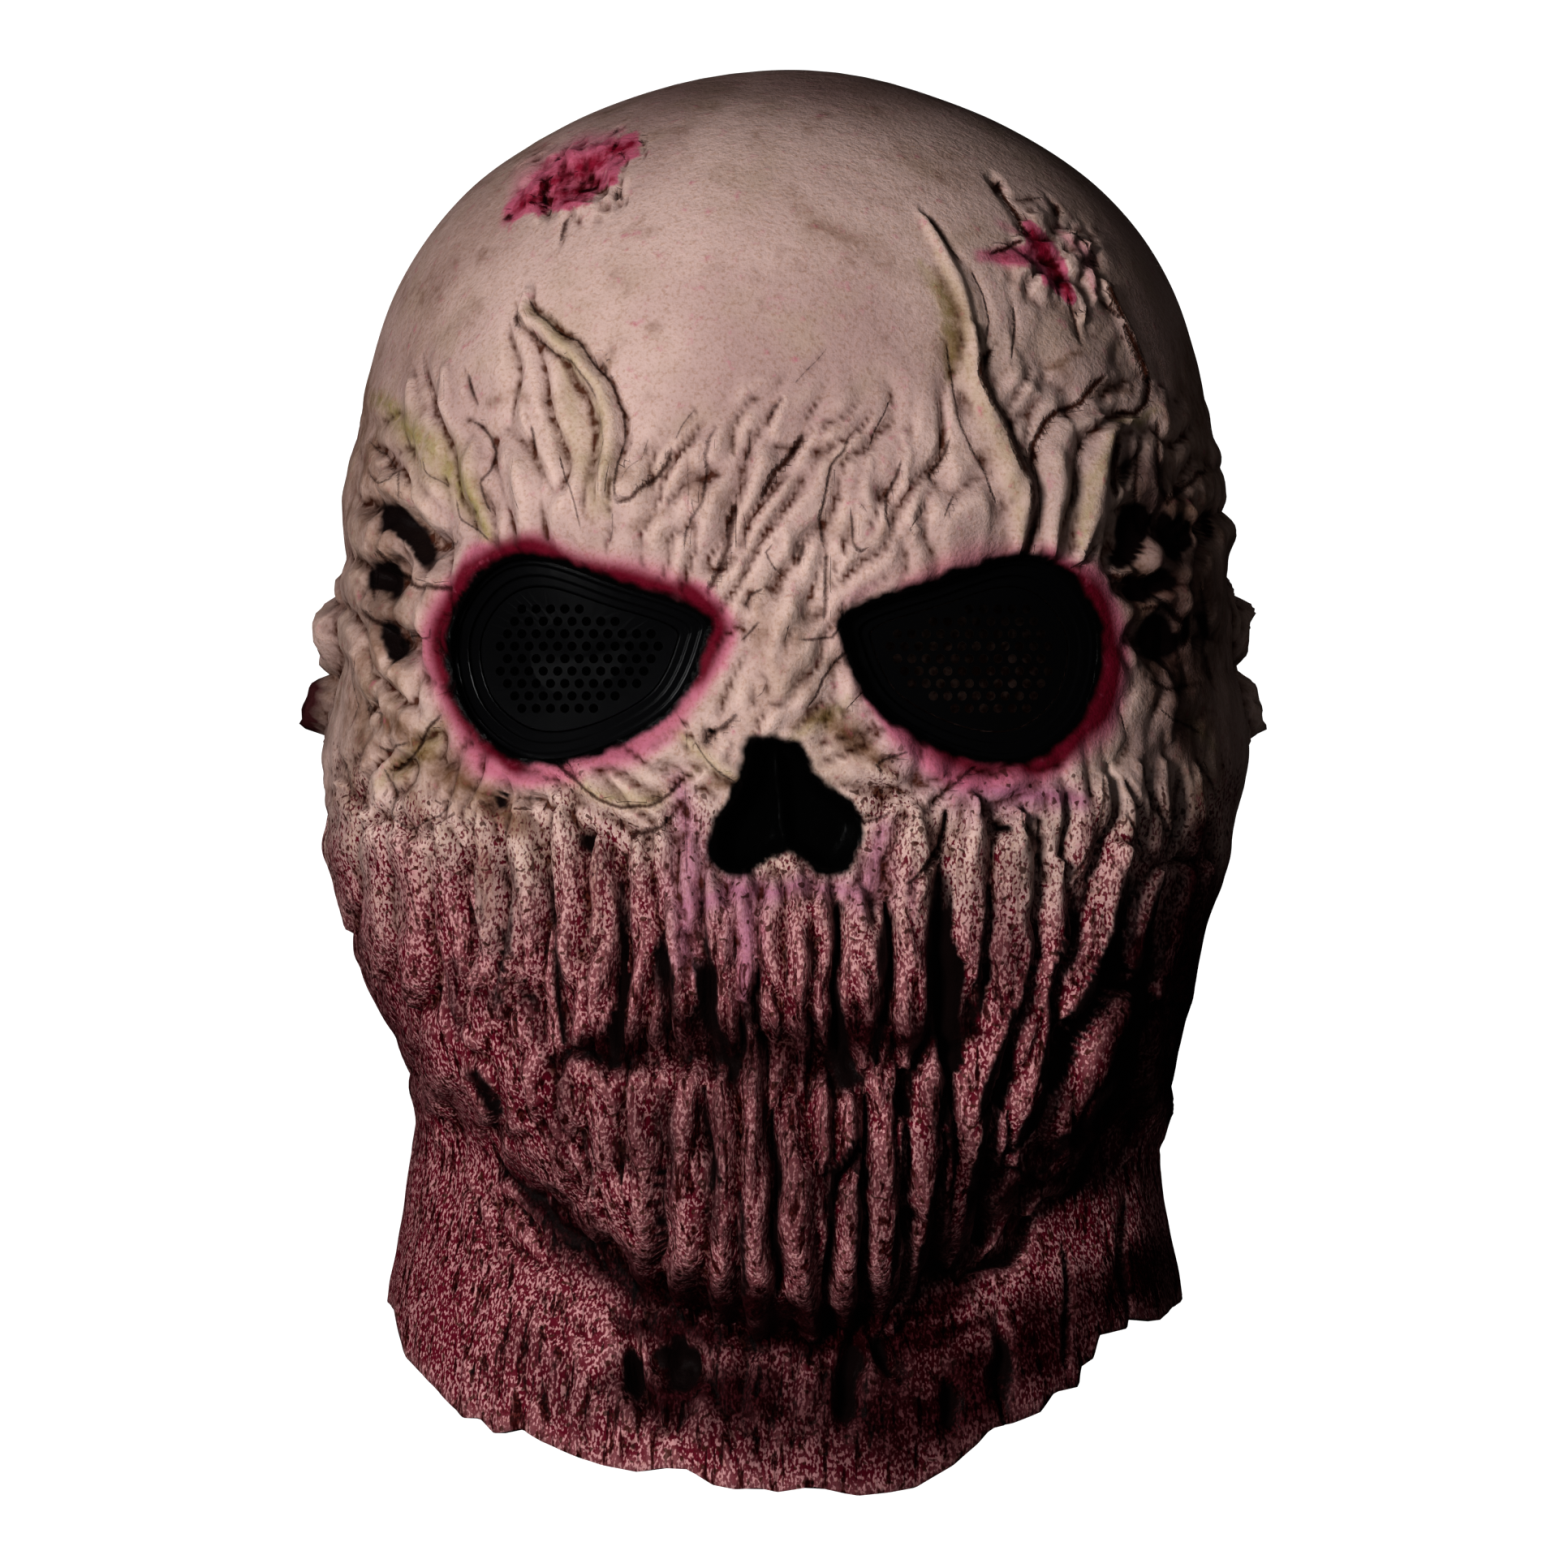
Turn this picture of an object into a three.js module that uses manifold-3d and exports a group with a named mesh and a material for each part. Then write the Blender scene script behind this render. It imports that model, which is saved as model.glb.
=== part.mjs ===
// Overhead latex monster mask: one hollow casting of skull cap, face, withered ears
// and neck bib, with a stepped black rim and a perforated black lens behind each eye hole.
// Millimetres, +Z up, the face looks along -Y and +X is on the viewer's right.
// The origin is the inside of the crown, where the mask sits on a head.

import * as THREE from 'three';
import { mergeVertices } from 'three/addons/utils/BufferGeometryUtils.js';
import Module from 'manifold-3d';

const wasm = await Module();
wasm.setup();

// Overall sizes
const MASK_HEIGHT = 306; // outer crown to the lowest point of the hem
const HEAD_WIDTH = 200; // cheek to cheek
const HEAD_DEPTH = 230; // brow to back of the skull
const NECK_WIDTH = 166;
const NECK_DEPTH = 156;
const WALL = 2.6; // latex thickness
const JAW_BLEND = 13; // how softly the jaw runs into the neck

// The front view in which the face is laid out
const VIEW_DISTANCE = 1500;
const VIEW_LEVEL = 0.515; // height of the eye point, as a share of the mask's height

// Relief of the casting
const FORM_HEIGHT = 3.5; // broad forms: brows, cheekbones, muzzle, chin
const VEIN_HEIGHT = 2.6;
const STRAND_HEIGHT = 3.0;
const FURROW_DEPTH = 1.6;
const DENT_DEPTH = 3.6;
const LEAST_WALL = 1.2; // latex left behind the deepest furrow
const EAR_HEIGHT = 6;
const NOSE_WIDTH = 32;
const NOSE_HEIGHT = 29;
const NOSE_DEPTH = 9;
const SEPTUM_WIDTH = 2.4; // upright wall down the middle of the nose hollow
const SEPTUM_SETBACK = 3.5; // how far it stays behind the face

// Eye holes, rims and lenses
const EYE_WIDTH = 56;
const EYE_HEIGHT = 45;
const EYE_SPACING = 87; // between the middles of the two holes, in the front view
const RIM_LAP = 3; // how far the rim reaches behind the latex
const RIM_LIP = 1.2; // how far it shows inside the hole before its first step
const STEP_WIDTH = 2.4;
const STEP_DEPTH = 1.6;
const RIM_DEPTH = 6.2;
const LENS_THICKNESS = 1.2;
const MESH_PITCH = 6.8;
const MESH_HOLE = 4.2; // hole diameter in the lens
const GAP = 0.3; // between pieces that touch

// Sections of the head: half width as a share of HEAD_WIDTH, front and back as shares
// of HEAD_DEPTH, square is the exponent of the superellipse
const HEAD_SECTIONS = [
  { down: 0.000, half: 0.000, front: 0.000, back: 0.000, square: 2.0 },
  { down: 0.018, half: 0.165, front: 0.150, back: 0.165, square: 2.0 },
  { down: 0.041, half: 0.255, front: 0.232, back: 0.255, square: 2.0 },
  { down: 0.088, half: 0.357, front: 0.330, back: 0.362, square: 2.0 },
  { down: 0.159, half: 0.430, front: 0.407, back: 0.443, square: 2.0 },
  { down: 0.253, half: 0.470, front: 0.452, back: 0.495, square: 2.1 },
  { down: 0.346, half: 0.488, front: 0.473, back: 0.513, square: 2.2 },
  { down: 0.441, half: 0.492, front: 0.470, back: 0.509, square: 2.2 },
  { down: 0.516, half: 0.498, front: 0.465, back: 0.476, square: 2.2 },
  { down: 0.582, half: 0.488, front: 0.462, back: 0.424, square: 2.2 },
  { down: 0.627, half: 0.470, front: 0.462, back: 0.380, square: 2.2 },
  { down: 0.676, half: 0.448, front: 0.458, back: 0.330, square: 2.2 },
  { down: 0.722, half: 0.418, front: 0.452, back: 0.285, square: 2.2 },
  { down: 0.768, half: 0.340, front: 0.448, back: 0.225, square: 2.2 },
  { down: 0.810, half: 0.275, front: 0.440, back: 0.175, square: 2.2 },
  { down: 0.843, half: 0.205, front: 0.425, back: 0.130, square: 2.2 },
  { down: 0.869, half: 0.145, front: 0.395, back: 0.090, square: 2.1 },
  { down: 0.889, half: 0.085, front: 0.330, back: 0.060, square: 2.0 },
  { down: 0.915, half: 0.045, front: 0.200, back: 0.040, square: 2.0 },
  { down: 1.050, half: 0.020, front: 0.100, back: 0.020, square: 2.0 },
];

// Sections of the neck bib, as shares of NECK_WIDTH and NECK_DEPTH
const NECK_SECTIONS = [
  { down: 0.000, half: 0.000, front: 0.000, back: 0.000, square: 2.0 },
  { down: 0.390, half: 0.000, front: 0.000, back: 0.000, square: 2.0 },
  { down: 0.490, half: 0.370, front: 0.256, back: 0.440, square: 2.0 },
  { down: 0.654, half: 0.458, front: 0.333, back: 0.545, square: 2.1 },
  { down: 0.722, half: 0.482, front: 0.365, back: 0.560, square: 2.2 },
  { down: 0.781, half: 0.498, front: 0.404, back: 0.562, square: 2.2 },
  { down: 0.840, half: 0.513, front: 0.449, back: 0.570, square: 2.2 },
  { down: 0.889, half: 0.530, front: 0.487, back: 0.583, square: 2.2 },
  { down: 0.948, half: 0.540, front: 0.520, back: 0.596, square: 2.2 },
  { down: 1.050, half: 0.545, front: 0.545, back: 0.610, square: 2.2 },
];

// Hem: drop as a share of MASK_HEIGHT, at turns in degrees from the face,
// negative towards the wearer's right
const HEM = [
  { turn: -180, drop: 0.905 },
  { turn: -120, drop: 0.890 },
  { turn: -95, drop: 0.876 },
  { turn: -75, drop: 0.921 },
  { turn: -54, drop: 0.959 },
  { turn: -35, drop: 0.974 },
  { turn: -22, drop: 0.988 },
  { turn: -12, drop: 0.984 },
  { turn: -2, drop: 1.000 },
  { turn: 12, drop: 0.998 },
  { turn: 22, drop: 0.986 },
  { turn: 31, drop: 0.959 },
  { turn: 43, drop: 0.937 },
  { turn: 52, drop: 0.900 },
  { turn: 70, drop: 0.895 },
  { turn: 90, drop: 0.884 },
  { turn: 120, drop: 0.893 },
  { turn: 180, drop: 0.905 },
];

// Folds in the front view: from across, down to across, down, then full width.
// Across and width are shares of HEAD_WIDTH and down of MASK_HEIGHT.
// Size is a share of the relief height named beside the table.
const VEINS = [
  // x1, down1, x2, down2, width, size
  [-0.279, 0.175, -0.230, 0.205, 0.030, 0.8],
  [-0.230, 0.205, -0.189, 0.250, 0.030, 1.0],
  [-0.189, 0.250, -0.192, 0.300, 0.030, 1.0],
  [0.150, 0.108, 0.198, 0.180, 0.028, 0.7],
  [0.198, 0.180, 0.206, 0.225, 0.032, 1.0],
  [0.206, 0.225, 0.250, 0.283, 0.034, 1.1],
  [0.250, 0.283, 0.262, 0.335, 0.034, 0.9],
  [0.272, 0.288, 0.285, 0.255, 0.040, 1.0],
  [0.285, 0.255, 0.344, 0.243, 0.040, 1.0],
  [0.332, 0.297, 0.336, 0.268, 0.034, 1.0],
  [0.336, 0.268, 0.363, 0.255, 0.034, 1.0],
];

const STRANDS = [
  // x1, down1, x2, down2, width, size
  [-0.450, 0.540, -0.430, 0.640, 0.040, 0.5],
  [-0.405, 0.545, -0.395, 0.654, 0.036, 0.7],
  [-0.360, 0.556, -0.355, 0.660, 0.036, 0.8],
  [-0.322, 0.570, -0.322, 0.670, 0.034, 0.9],
  [-0.284, 0.556, -0.284, 0.654, 0.036, 0.9],
  [-0.221, 0.560, -0.221, 0.710, 0.060, 1.0],
  [-0.145, 0.580, -0.150, 0.650, 0.036, 0.7],
  [-0.105, 0.592, -0.107, 0.682, 0.044, 0.8],
  [-0.037, 0.578, -0.065, 0.701, 0.038, 0.9],
  [0.007, 0.585, 0.007, 0.686, 0.046, 1.0],
  [0.084, 0.602, 0.084, 0.709, 0.040, 1.0],
  [0.140, 0.580, 0.134, 0.700, 0.048, 1.0],
  [0.202, 0.562, 0.202, 0.644, 0.042, 1.0],
  [0.252, 0.592, 0.236, 0.683, 0.042, 1.0],
  [0.236, 0.683, 0.205, 0.729, 0.042, 0.9],
  [0.298, 0.585, 0.295, 0.657, 0.038, 1.0],
  [0.295, 0.657, 0.250, 0.768, 0.042, 1.0],
  [0.345, 0.595, 0.314, 0.670, 0.042, 1.0],
  [0.360, 0.686, 0.295, 0.768, 0.054, 1.0],
  [0.402, 0.560, 0.375, 0.650, 0.036, 0.8],
  [0.440, 0.560, 0.420, 0.660, 0.036, 0.7],
  [0.405, 0.700, 0.385, 0.770, 0.040, 0.7],
  [-0.275, 0.725, -0.215, 0.817, 0.044, 0.7],
  [-0.220, 0.735, -0.155, 0.856, 0.048, 0.9],
  [-0.100, 0.745, -0.095, 0.876, 0.048, 0.9],
  [-0.035, 0.739, -0.032, 0.889, 0.046, 0.9],
  [0.026, 0.739, 0.018, 0.889, 0.046, 0.9],
  [0.105, 0.745, 0.100, 0.882, 0.040, 0.8],
  [0.155, 0.735, 0.150, 0.869, 0.042, 0.9],
  [0.290, 0.778, 0.225, 0.833, 0.048, 0.8],
];

const FURROWS = [
  // x1, down1, x2, down2, width, size
  [0.020, 0.265, -0.015, 0.301, 0.024, 1.0],
  [-0.050, 0.310, -0.075, 0.369, 0.024, 0.9],
  [0.050, 0.294, 0.045, 0.392, 0.024, 0.9],
  [0.115, 0.270, 0.108, 0.320, 0.026, 0.9],
  [-0.130, 0.265, -0.150, 0.320, 0.026, 0.8],
  [0.232, 0.200, 0.275, 0.278, 0.024, 1.0],
  [-0.250, 0.513, -0.200, 0.536, 0.026, 1.0],
  [-0.200, 0.536, -0.110, 0.516, 0.026, 1.0],
  [0.110, 0.495, 0.225, 0.518, 0.026, 0.9],
  [0.225, 0.518, 0.325, 0.512, 0.026, 0.9],
  [0.172, 0.572, 0.172, 0.719, 0.024, 1.0],
  [-0.176, 0.582, -0.176, 0.712, 0.022, 1.0],
  [-0.137, 0.768, -0.137, 0.838, 0.024, 1.0],
];

// Broad forms and dents in the front view: middle, half width as a share of HEAD_WIDTH,
// half height as a share of MASK_HEIGHT, lean in degrees and size
const FORMS = [
  // across, down, half wide, half tall, lean, size
  [-0.215, 0.312, 0.180, 0.045, 14, 0.8],
  [0.205, 0.312, 0.180, 0.045, -14, 0.8],
  [-0.008, 0.440, 0.070, 0.085, 0, 1.2],
  [-0.365, 0.540, 0.130, 0.060, 0, 0.8],
  [0.355, 0.540, 0.130, 0.060, 0, 0.8],
  [0.000, 0.640, 0.240, 0.110, 0, 1.1],
  [0.000, 0.825, 0.170, 0.070, 0, 1.2],
];

const DENTS = [
  // across, down, half wide, half tall, lean, size
  [-0.408, 0.336, 0.045, 0.018, 38, 1.0],
  [-0.432, 0.367, 0.030, 0.014, 0, 0.7],
  [-0.430, 0.411, 0.020, 0.018, 0, 0.8],
  [0.395, 0.330, 0.035, 0.030, 0, 0.8],
  [0.415, 0.390, 0.030, 0.026, 0, 0.7],
  [0.212, 0.672, 0.030, 0.030, 0, 0.8],
  [0.357, 0.657, 0.022, 0.016, 0, 0.9],
  [-0.005, 0.716, 0.200, 0.020, 0, 0.9],
  [-0.162, 0.944, 0.022, 0.034, 0, 1.0],
  [-0.108, 0.931, 0.026, 0.024, 0, 1.0],
  [0.095, 0.966, 0.036, 0.048, 0, 1.0],
  [0.175, 0.964, 0.018, 0.022, 0, 0.6],
  [-0.232, 0.080, 0.055, 0.022, -30, 0.5],
  [0.295, 0.135, 0.040, 0.030, 40, 0.5],
];

// Nose hollow outline, clockwise from the top: across as a share of NOSE_WIDTH and down
// as a share of NOSE_HEIGHT, from the middle
const NOSE_OUTLINE = [
  { across: 0.030, down: -0.500 },
  { across: 0.200, down: -0.250 },
  { across: 0.340, down: -0.040 },
  { across: 0.520, down: 0.080 },
  { across: 0.480, down: 0.320 },
  { across: 0.360, down: 0.480 },
  { across: 0.180, down: 0.430 },
  { across: 0.000, down: 0.320 },
  { across: -0.200, down: 0.440 },
  { across: -0.430, down: 0.490 },
  { across: -0.520, down: 0.300 },
  { across: -0.440, down: 0.080 },
  { across: -0.320, down: -0.050 },
  { across: -0.240, down: -0.280 },
  { across: -0.200, down: -0.500 },
];
const NOSE_PLACE = { across: 0.002, down: 0.531 }; // shares of HEAD_WIDTH and MASK_HEIGHT

// Ears in the side view: side, forward as a share of HEAD_DEPTH, down, half sizes, size
const EARS = [
  // side, back of the middle, down, half long, half tall, size
  [-1, 0.030, 0.403, 0.075, 0.046, 0.9],
  [-1, 0.050, 0.457, 0.045, 0.030, 1.2],
  [1, 0.030, 0.392, 0.075, 0.046, 0.8],
  [1, 0.050, 0.462, 0.050, 0.036, 1.1],
];

// Eye hole outline, starting at the outer side: out from the middle as a share of
// EYE_WIDTH, away from the nose, and down as a share of EYE_HEIGHT
const EYE_OUTLINE = [
  { out: 0.500, down: -0.120 },
  { out: 0.455, down: 0.230 },
  { out: 0.290, down: 0.450 },
  { out: 0.090, down: 0.495 },
  { out: -0.160, down: 0.400 },
  { out: -0.380, down: 0.210 },
  { out: -0.490, down: -0.080 },
  { out: -0.470, down: -0.220 },
  { out: -0.150, down: -0.360 },
  { out: 0.180, down: -0.490 },
  { out: 0.380, down: -0.400 },
];
const EYE_DOWN = 0.424; // middle of the eye holes, as a share of MASK_HEIGHT
const FACE_MIDDLE = -0.012; // the face's own middle line, as a share of HEAD_WIDTH

// Rows of the surface, as shares of each meridian from crown to hem
const CROWN_ROWS = [0.003, 0.014, 0.035, 0.066, 0.104, 0.148, 0.188];
const CROWN_COLUMNS = [10, 20, 30, 40, 46, 52, 60];
const FACE_ROWS = [
  0.222, 0.248, 0.272, 0.296, 0.320, 0.344, 0.368, 0.394, 0.420, 0.446, 0.470, 0.490,
  0.508, 0.526, 0.544, 0.562, 0.584, 0.612, 0.640, 0.668, 0.692, 0.708, 0.724, 0.752,
  0.784, 0.816, 0.846, 0.868, 0.886, 0.908, 0.938, 0.970, 1.000,
];
const INNER_ROWS = [
  0.010, 0.050, 0.110, 0.190, 0.260, 0.310, 0.350, 0.400, 0.450, 0.490, 0.520, 0.550,
  0.585, 0.640, 0.700, 0.750, 0.780, 0.810, 0.840, 0.865, 0.890, 0.920, 0.955, 1.000,
];
const FACE_COLUMNS = { front: 66, side: 7, back: 12 };
const INNER_COLUMNS = { front: 24, side: 4, back: 10 };
// Neighbourhood that the inner wall keeps clear of
const INNER_REACH = { turn: THREE.MathUtils.degToRad(3.6), down: 0.022 };
const FRONT_TURN = 64; // degrees each side of the face that hold the fine columns
const SIDE_TURN = 104;

const { degToRad, radToDeg, clamp, smoothstep } = THREE.MathUtils;

// Smooth curve through one column of a table, steep at the crown as a dome is
function curve(rows, column, size) {
  const at = rows.map((row) => Math.sqrt(row.down));
  const value = rows.map((row) => row[column] * size);
  const slope = at.map((_, i) => {
    const before = Math.max(i - 1, 0);
    const after = Math.min(i + 1, at.length - 1);
    return (value[after] - value[before]) / (at[after] - at[before]);
  });
  return (down) => {
    const place = clamp(Math.sqrt(Math.max(down, 0)), at[0], at.at(-1));
    const i = Math.min(at.findLastIndex((start) => start <= place), at.length - 2);
    const span = at[i + 1] - at[i];
    const t = (place - at[i]) / span;
    const rise = value[i + 1] - value[i];
    return value[i] + t * (slope[i] * span
      + t * (3 * rise - 2 * slope[i] * span - slope[i + 1] * span
      + t * (slope[i] * span + slope[i + 1] * span - 2 * rise)));
  };
}

function sectionCurves(rows, width, depth) {
  return {
    half: curve(rows, 'half', width),
    front: curve(rows, 'front', depth),
    back: curve(rows, 'back', depth),
    square: curve(rows, 'square', 1),
  };
}

const head = sectionCurves(HEAD_SECTIONS, HEAD_WIDTH, HEAD_DEPTH);
const neck = sectionCurves(NECK_SECTIONS, NECK_WIDTH, NECK_DEPTH);

// Distance of a section's outline from the vertical axis, at a turn from the face
function sectionRadius(section, turn, down) {
  const half = section.half(down);
  if (half <= 0) return 0;
  const depth = Math.cos(turn) > 0 ? section.front(down) : section.back(down);
  const power = section.square(down);
  const sum = Math.abs(Math.sin(turn) / half) ** power + Math.abs(Math.cos(turn) / depth) ** power;
  return sum ** (-1 / power);
}

function blendedMax(a, b, blend) {
  const near = Math.max(blend - Math.abs(a - b), 0) / blend;
  return Math.max(a, b) + near * near * blend / 4;
}

function basePoint(turn, down) {
  const headRadius = sectionRadius(head, turn, down);
  const neckRadius = sectionRadius(neck, turn, down);
  const radius = neckRadius > 0 ? blendedMax(headRadius, neckRadius, JAW_BLEND) : headRadius;
  return new THREE.Vector3(
    radius * Math.sin(turn), -radius * Math.cos(turn), WALL - down * MASK_HEIGHT);
}

function baseNormal(turn, down) {
  const stepTurn = 0.01;
  const stepDown = Math.min(0.004, down * 0.5);
  const across = basePoint(turn + stepTurn, down).sub(basePoint(turn - stepTurn, down));
  const along = basePoint(turn, down - stepDown).sub(basePoint(turn, down + stepDown));
  return across.cross(along).normalize();
}

// Where a point of the surface shows in the front view, in millimetres across and down
function frontView(point) {
  const nearness = VIEW_DISTANCE / (VIEW_DISTANCE + point.y);
  const eyeLevel = VIEW_LEVEL * MASK_HEIGHT;
  return {
    across: point.x * nearness,
    down: eyeLevel + (WALL - point.z - eyeLevel) * nearness,
  };
}

// Round-topped fold along a line, tapering towards its two ends
function fold([x1, down1, x2, down2, width, size], seen) {
  const startX = x1 * HEAD_WIDTH;
  const startDown = down1 * MASK_HEIGHT;
  const runX = x2 * HEAD_WIDTH - startX;
  const runDown = down2 * MASK_HEIGHT - startDown;
  const length = Math.hypot(runX, runDown);
  const t = ((seen.across - startX) * runX + (seen.down - startDown) * runDown) / length ** 2;
  const near = clamp(t, 0, 1);
  const offX = seen.across - startX - near * runX;
  const offDown = seen.down - startDown - near * runDown;
  const away = Math.hypot(offX, offDown) / (width * HEAD_WIDTH / 2);
  return size * Math.cos(Math.min(away, 1) * Math.PI / 2) ** 2;
}

// Dished or domed ellipse
function oval([across, down, halfWide, halfTall, lean, size], seenAcross, seenDown, edge) {
  const x = seenAcross - across;
  const y = seenDown - down;
  const turned = degToRad(lean);
  const wide = (x * Math.cos(turned) + y * Math.sin(turned)) / halfWide;
  const tall = (y * Math.cos(turned) - x * Math.sin(turned)) / halfTall;
  return size * (1 - smoothstep(Math.hypot(wide, tall), edge, 1));
}

function ovals(rows, seen, edge) {
  return rows.map(([across, down, halfWide, halfTall, lean, size]) => oval(
    [across * HEAD_WIDTH, down * MASK_HEIGHT, halfWide * HEAD_WIDTH, halfTall * MASK_HEIGHT,
      lean, size],
    seen.across, seen.down, edge));
}

const strongest = (values) => Math.max(0, ...values);

function earRelief(point) {
  const down = WALL - point.z;
  return strongest(EARS.map(([side, back, middle, halfLong, halfTall, size]) => {
    if (point.x * side < 0) return 0;
    const row = [back * HEAD_DEPTH, middle * MASK_HEIGHT, halfLong * HEAD_DEPTH,
      halfTall * MASK_HEIGHT, 0, size];
    return oval(row, point.y, down, 0.35);
  }));
}

// Height of the casting over its smooth base at a point of the base
function relief(point) {
  const ears = EAR_HEIGHT * earRelief(point);
  const facing = 1 - smoothstep(point.y, 0, 0.1 * HEAD_DEPTH);
  if (facing === 0) return ears;
  const seen = frontView(point);
  const raised = FORM_HEIGHT * ovals(FORMS, seen, 0).reduce((sum, each) => sum + each, 0)
    + VEIN_HEIGHT * strongest(VEINS.map((row) => fold(row, seen)))
    + STRAND_HEIGHT * strongest(STRANDS.map((row) => fold(row, seen)));
  const sunk = FURROW_DEPTH * strongest(FURROWS.map((row) => fold(row, seen)))
    + DENT_DEPTH * strongest(ovals(DENTS, seen, 0.3));
  return ears + facing * (raised - sunk);
}

// The hem's drop at a turn, straight from one tear to the next
function hemDrop(turn) {
  const degrees = radToDeg(turn);
  const i = clamp(HEM.findLastIndex((row) => row.turn <= degrees), 0, HEM.length - 2);
  const t = (degrees - HEM[i].turn) / (HEM[i + 1].turn - HEM[i].turn);
  return HEM[i].drop + t * (HEM[i + 1].drop - HEM[i].drop);
}

function outerPoint(turn, share) {
  const down = share * hemDrop(turn);
  const base = basePoint(turn, down);
  return base.clone().addScaledVector(baseNormal(turn, down), relief(base));
}

// The inner wall is smooth over small folds and steps back behind deep hollows and the
// crease under the jaw, by the lowest point of the outer skin that lies close by
function innerPoint(turn, share) {
  const down = share * hemDrop(turn);
  const base = basePoint(turn, down);
  const normal = baseNormal(turn, down);
  let lowest = 0;
  for (const turnStep of [-1, -0.5, 0, 0.5, 1]) {
    for (const downStep of [-1, -0.5, 0, 0.5, 1]) {
      const nearTurn = turn + turnStep * INNER_REACH.turn;
      const nearDown = Math.max(down + downStep * INNER_REACH.down, 0);
      const skin = basePoint(nearTurn, nearDown);
      const height = skin.clone().sub(base).dot(normal) + relief(skin);
      lowest = Math.min(lowest, height);
    }
  }
  const offset = share < 1 ? Math.max(WALL, LEAST_WALL - lowest) : WALL;
  return base.addScaledVector(normal, -offset);
}

// Turns of the columns, from the back round by the wearer's right
function columnTurns({ front, side, back }) {
  const turns = [];
  const spread = (from, to, count) => {
    for (let i = 0; i < count; i += 1) turns.push(degToRad(from + (to - from) * i / count));
  };
  spread(-180, -SIDE_TURN, back / 2);
  spread(-SIDE_TURN, -FRONT_TURN, side);
  spread(-FRONT_TURN, FRONT_TURN, front);
  spread(FRONT_TURN, SIDE_TURN, side);
  spread(SIDE_TURN, 180, back / 2);
  return turns;
}

function evenTurns(count) {
  return Array.from({ length: count }, (_, i) => 2 * Math.PI * i / count - Math.PI);
}

// Collects the rings of a closed surface and joins each to the next
class RingMesh {
  constructor() {
    this.positions = [];
    this.triangles = [];
  }

  addVertex(point) {
    this.positions.push(point.x, point.y, point.z);
    return this.positions.length / 3 - 1;
  }

  addRing(turns, pointAt) {
    return turns.map((turn) => ({ turn, vertex: this.addVertex(pointAt(turn)) }));
  }

  addTriangle(a, b, c, flip) {
    this.triangles.push(a, flip ? c : b, flip ? b : c);
  }

  closeWith(vertex, ring, flip) {
    ring.forEach((start, i) => {
      this.addTriangle(vertex, start.vertex, ring[(i + 1) % ring.length].vertex, flip);
    });
  }

  // Walks round two rings of any two counts, each time stepping the one that lags
  join(upper, lower, flip) {
    const full = 2 * Math.PI;
    const turnOf = (ring, i) => ring[i % ring.length].turn + (i >= ring.length ? full : 0);
    const vertexOf = (ring, i) => ring[i % ring.length].vertex;
    let i = 0;
    let j = 0;
    while (i < upper.length || j < lower.length) {
      const stepUpper = j >= lower.length
        || (i < upper.length && turnOf(upper, i + 1) <= turnOf(lower, j + 1));
      const a = vertexOf(upper, i);
      const b = vertexOf(lower, j);
      if (stepUpper) {
        this.addTriangle(a, b, vertexOf(upper, i + 1), flip);
        i += 1;
      } else {
        this.addTriangle(a, b, vertexOf(lower, j + 1), flip);
        j += 1;
      }
    }
  }

  geometry() {
    const geometry = new THREE.BufferGeometry();
    geometry.setAttribute('position', new THREE.Float32BufferAttribute(this.positions, 3));
    geometry.setIndex(this.triangles);
    return geometry;
  }
}

// Latex casting as one closed skin: outer rings down to the hem, inner rings back up
function castingGeometry() {
  const skin = new RingMesh();
  const faceTurns = columnTurns(FACE_COLUMNS);
  const innerTurns = columnTurns(INNER_COLUMNS);
  const outerRings = [
    ...CROWN_ROWS.map((share, i) => skin.addRing(
      evenTurns(CROWN_COLUMNS[i]), (turn) => outerPoint(turn, share))),
    ...FACE_ROWS.map((share) => skin.addRing(faceTurns, (turn) => outerPoint(turn, share))),
  ];
  const innerRings = INNER_ROWS.map((share, i) => skin.addRing(
    i < 2 ? evenTurns(10 + 14 * i) : innerTurns, (turn) => innerPoint(turn, share)));
  skin.closeWith(skin.addVertex(new THREE.Vector3(0, 0, WALL)), outerRings[0], false);
  outerRings.slice(1).forEach((ring, i) => skin.join(outerRings[i], ring, false));
  skin.join(outerRings.at(-1), innerRings.at(-1), false);
  innerRings.slice(1).forEach((ring, i) => skin.join(innerRings[i], ring, true));
  skin.closeWith(skin.addVertex(new THREE.Vector3(0, 0, 0)), innerRings[0], true);
  return skin.geometry();
}

// Solids for joining and cutting
function toSolid(geometry) {
  const bare = geometry.clone();
  bare.deleteAttribute('normal');
  bare.deleteAttribute('uv');
  const merged = mergeVertices(bare, 1e-4);
  return new wasm.Manifold(new wasm.Mesh({
    numProp: 3,
    vertProperties: merged.getAttribute('position').array,
    triVerts: Uint32Array.from(merged.index.array),
  }));
}

function toGeometry(solid) {
  const mesh = solid.getMesh();
  const geometry = new THREE.BufferGeometry();
  geometry.setAttribute('position', new THREE.BufferAttribute(mesh.vertProperties, 3));
  geometry.setIndex(new THREE.BufferAttribute(mesh.triVerts, 1));
  geometry.computeVertexNormals();
  return geometry;
}

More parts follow.
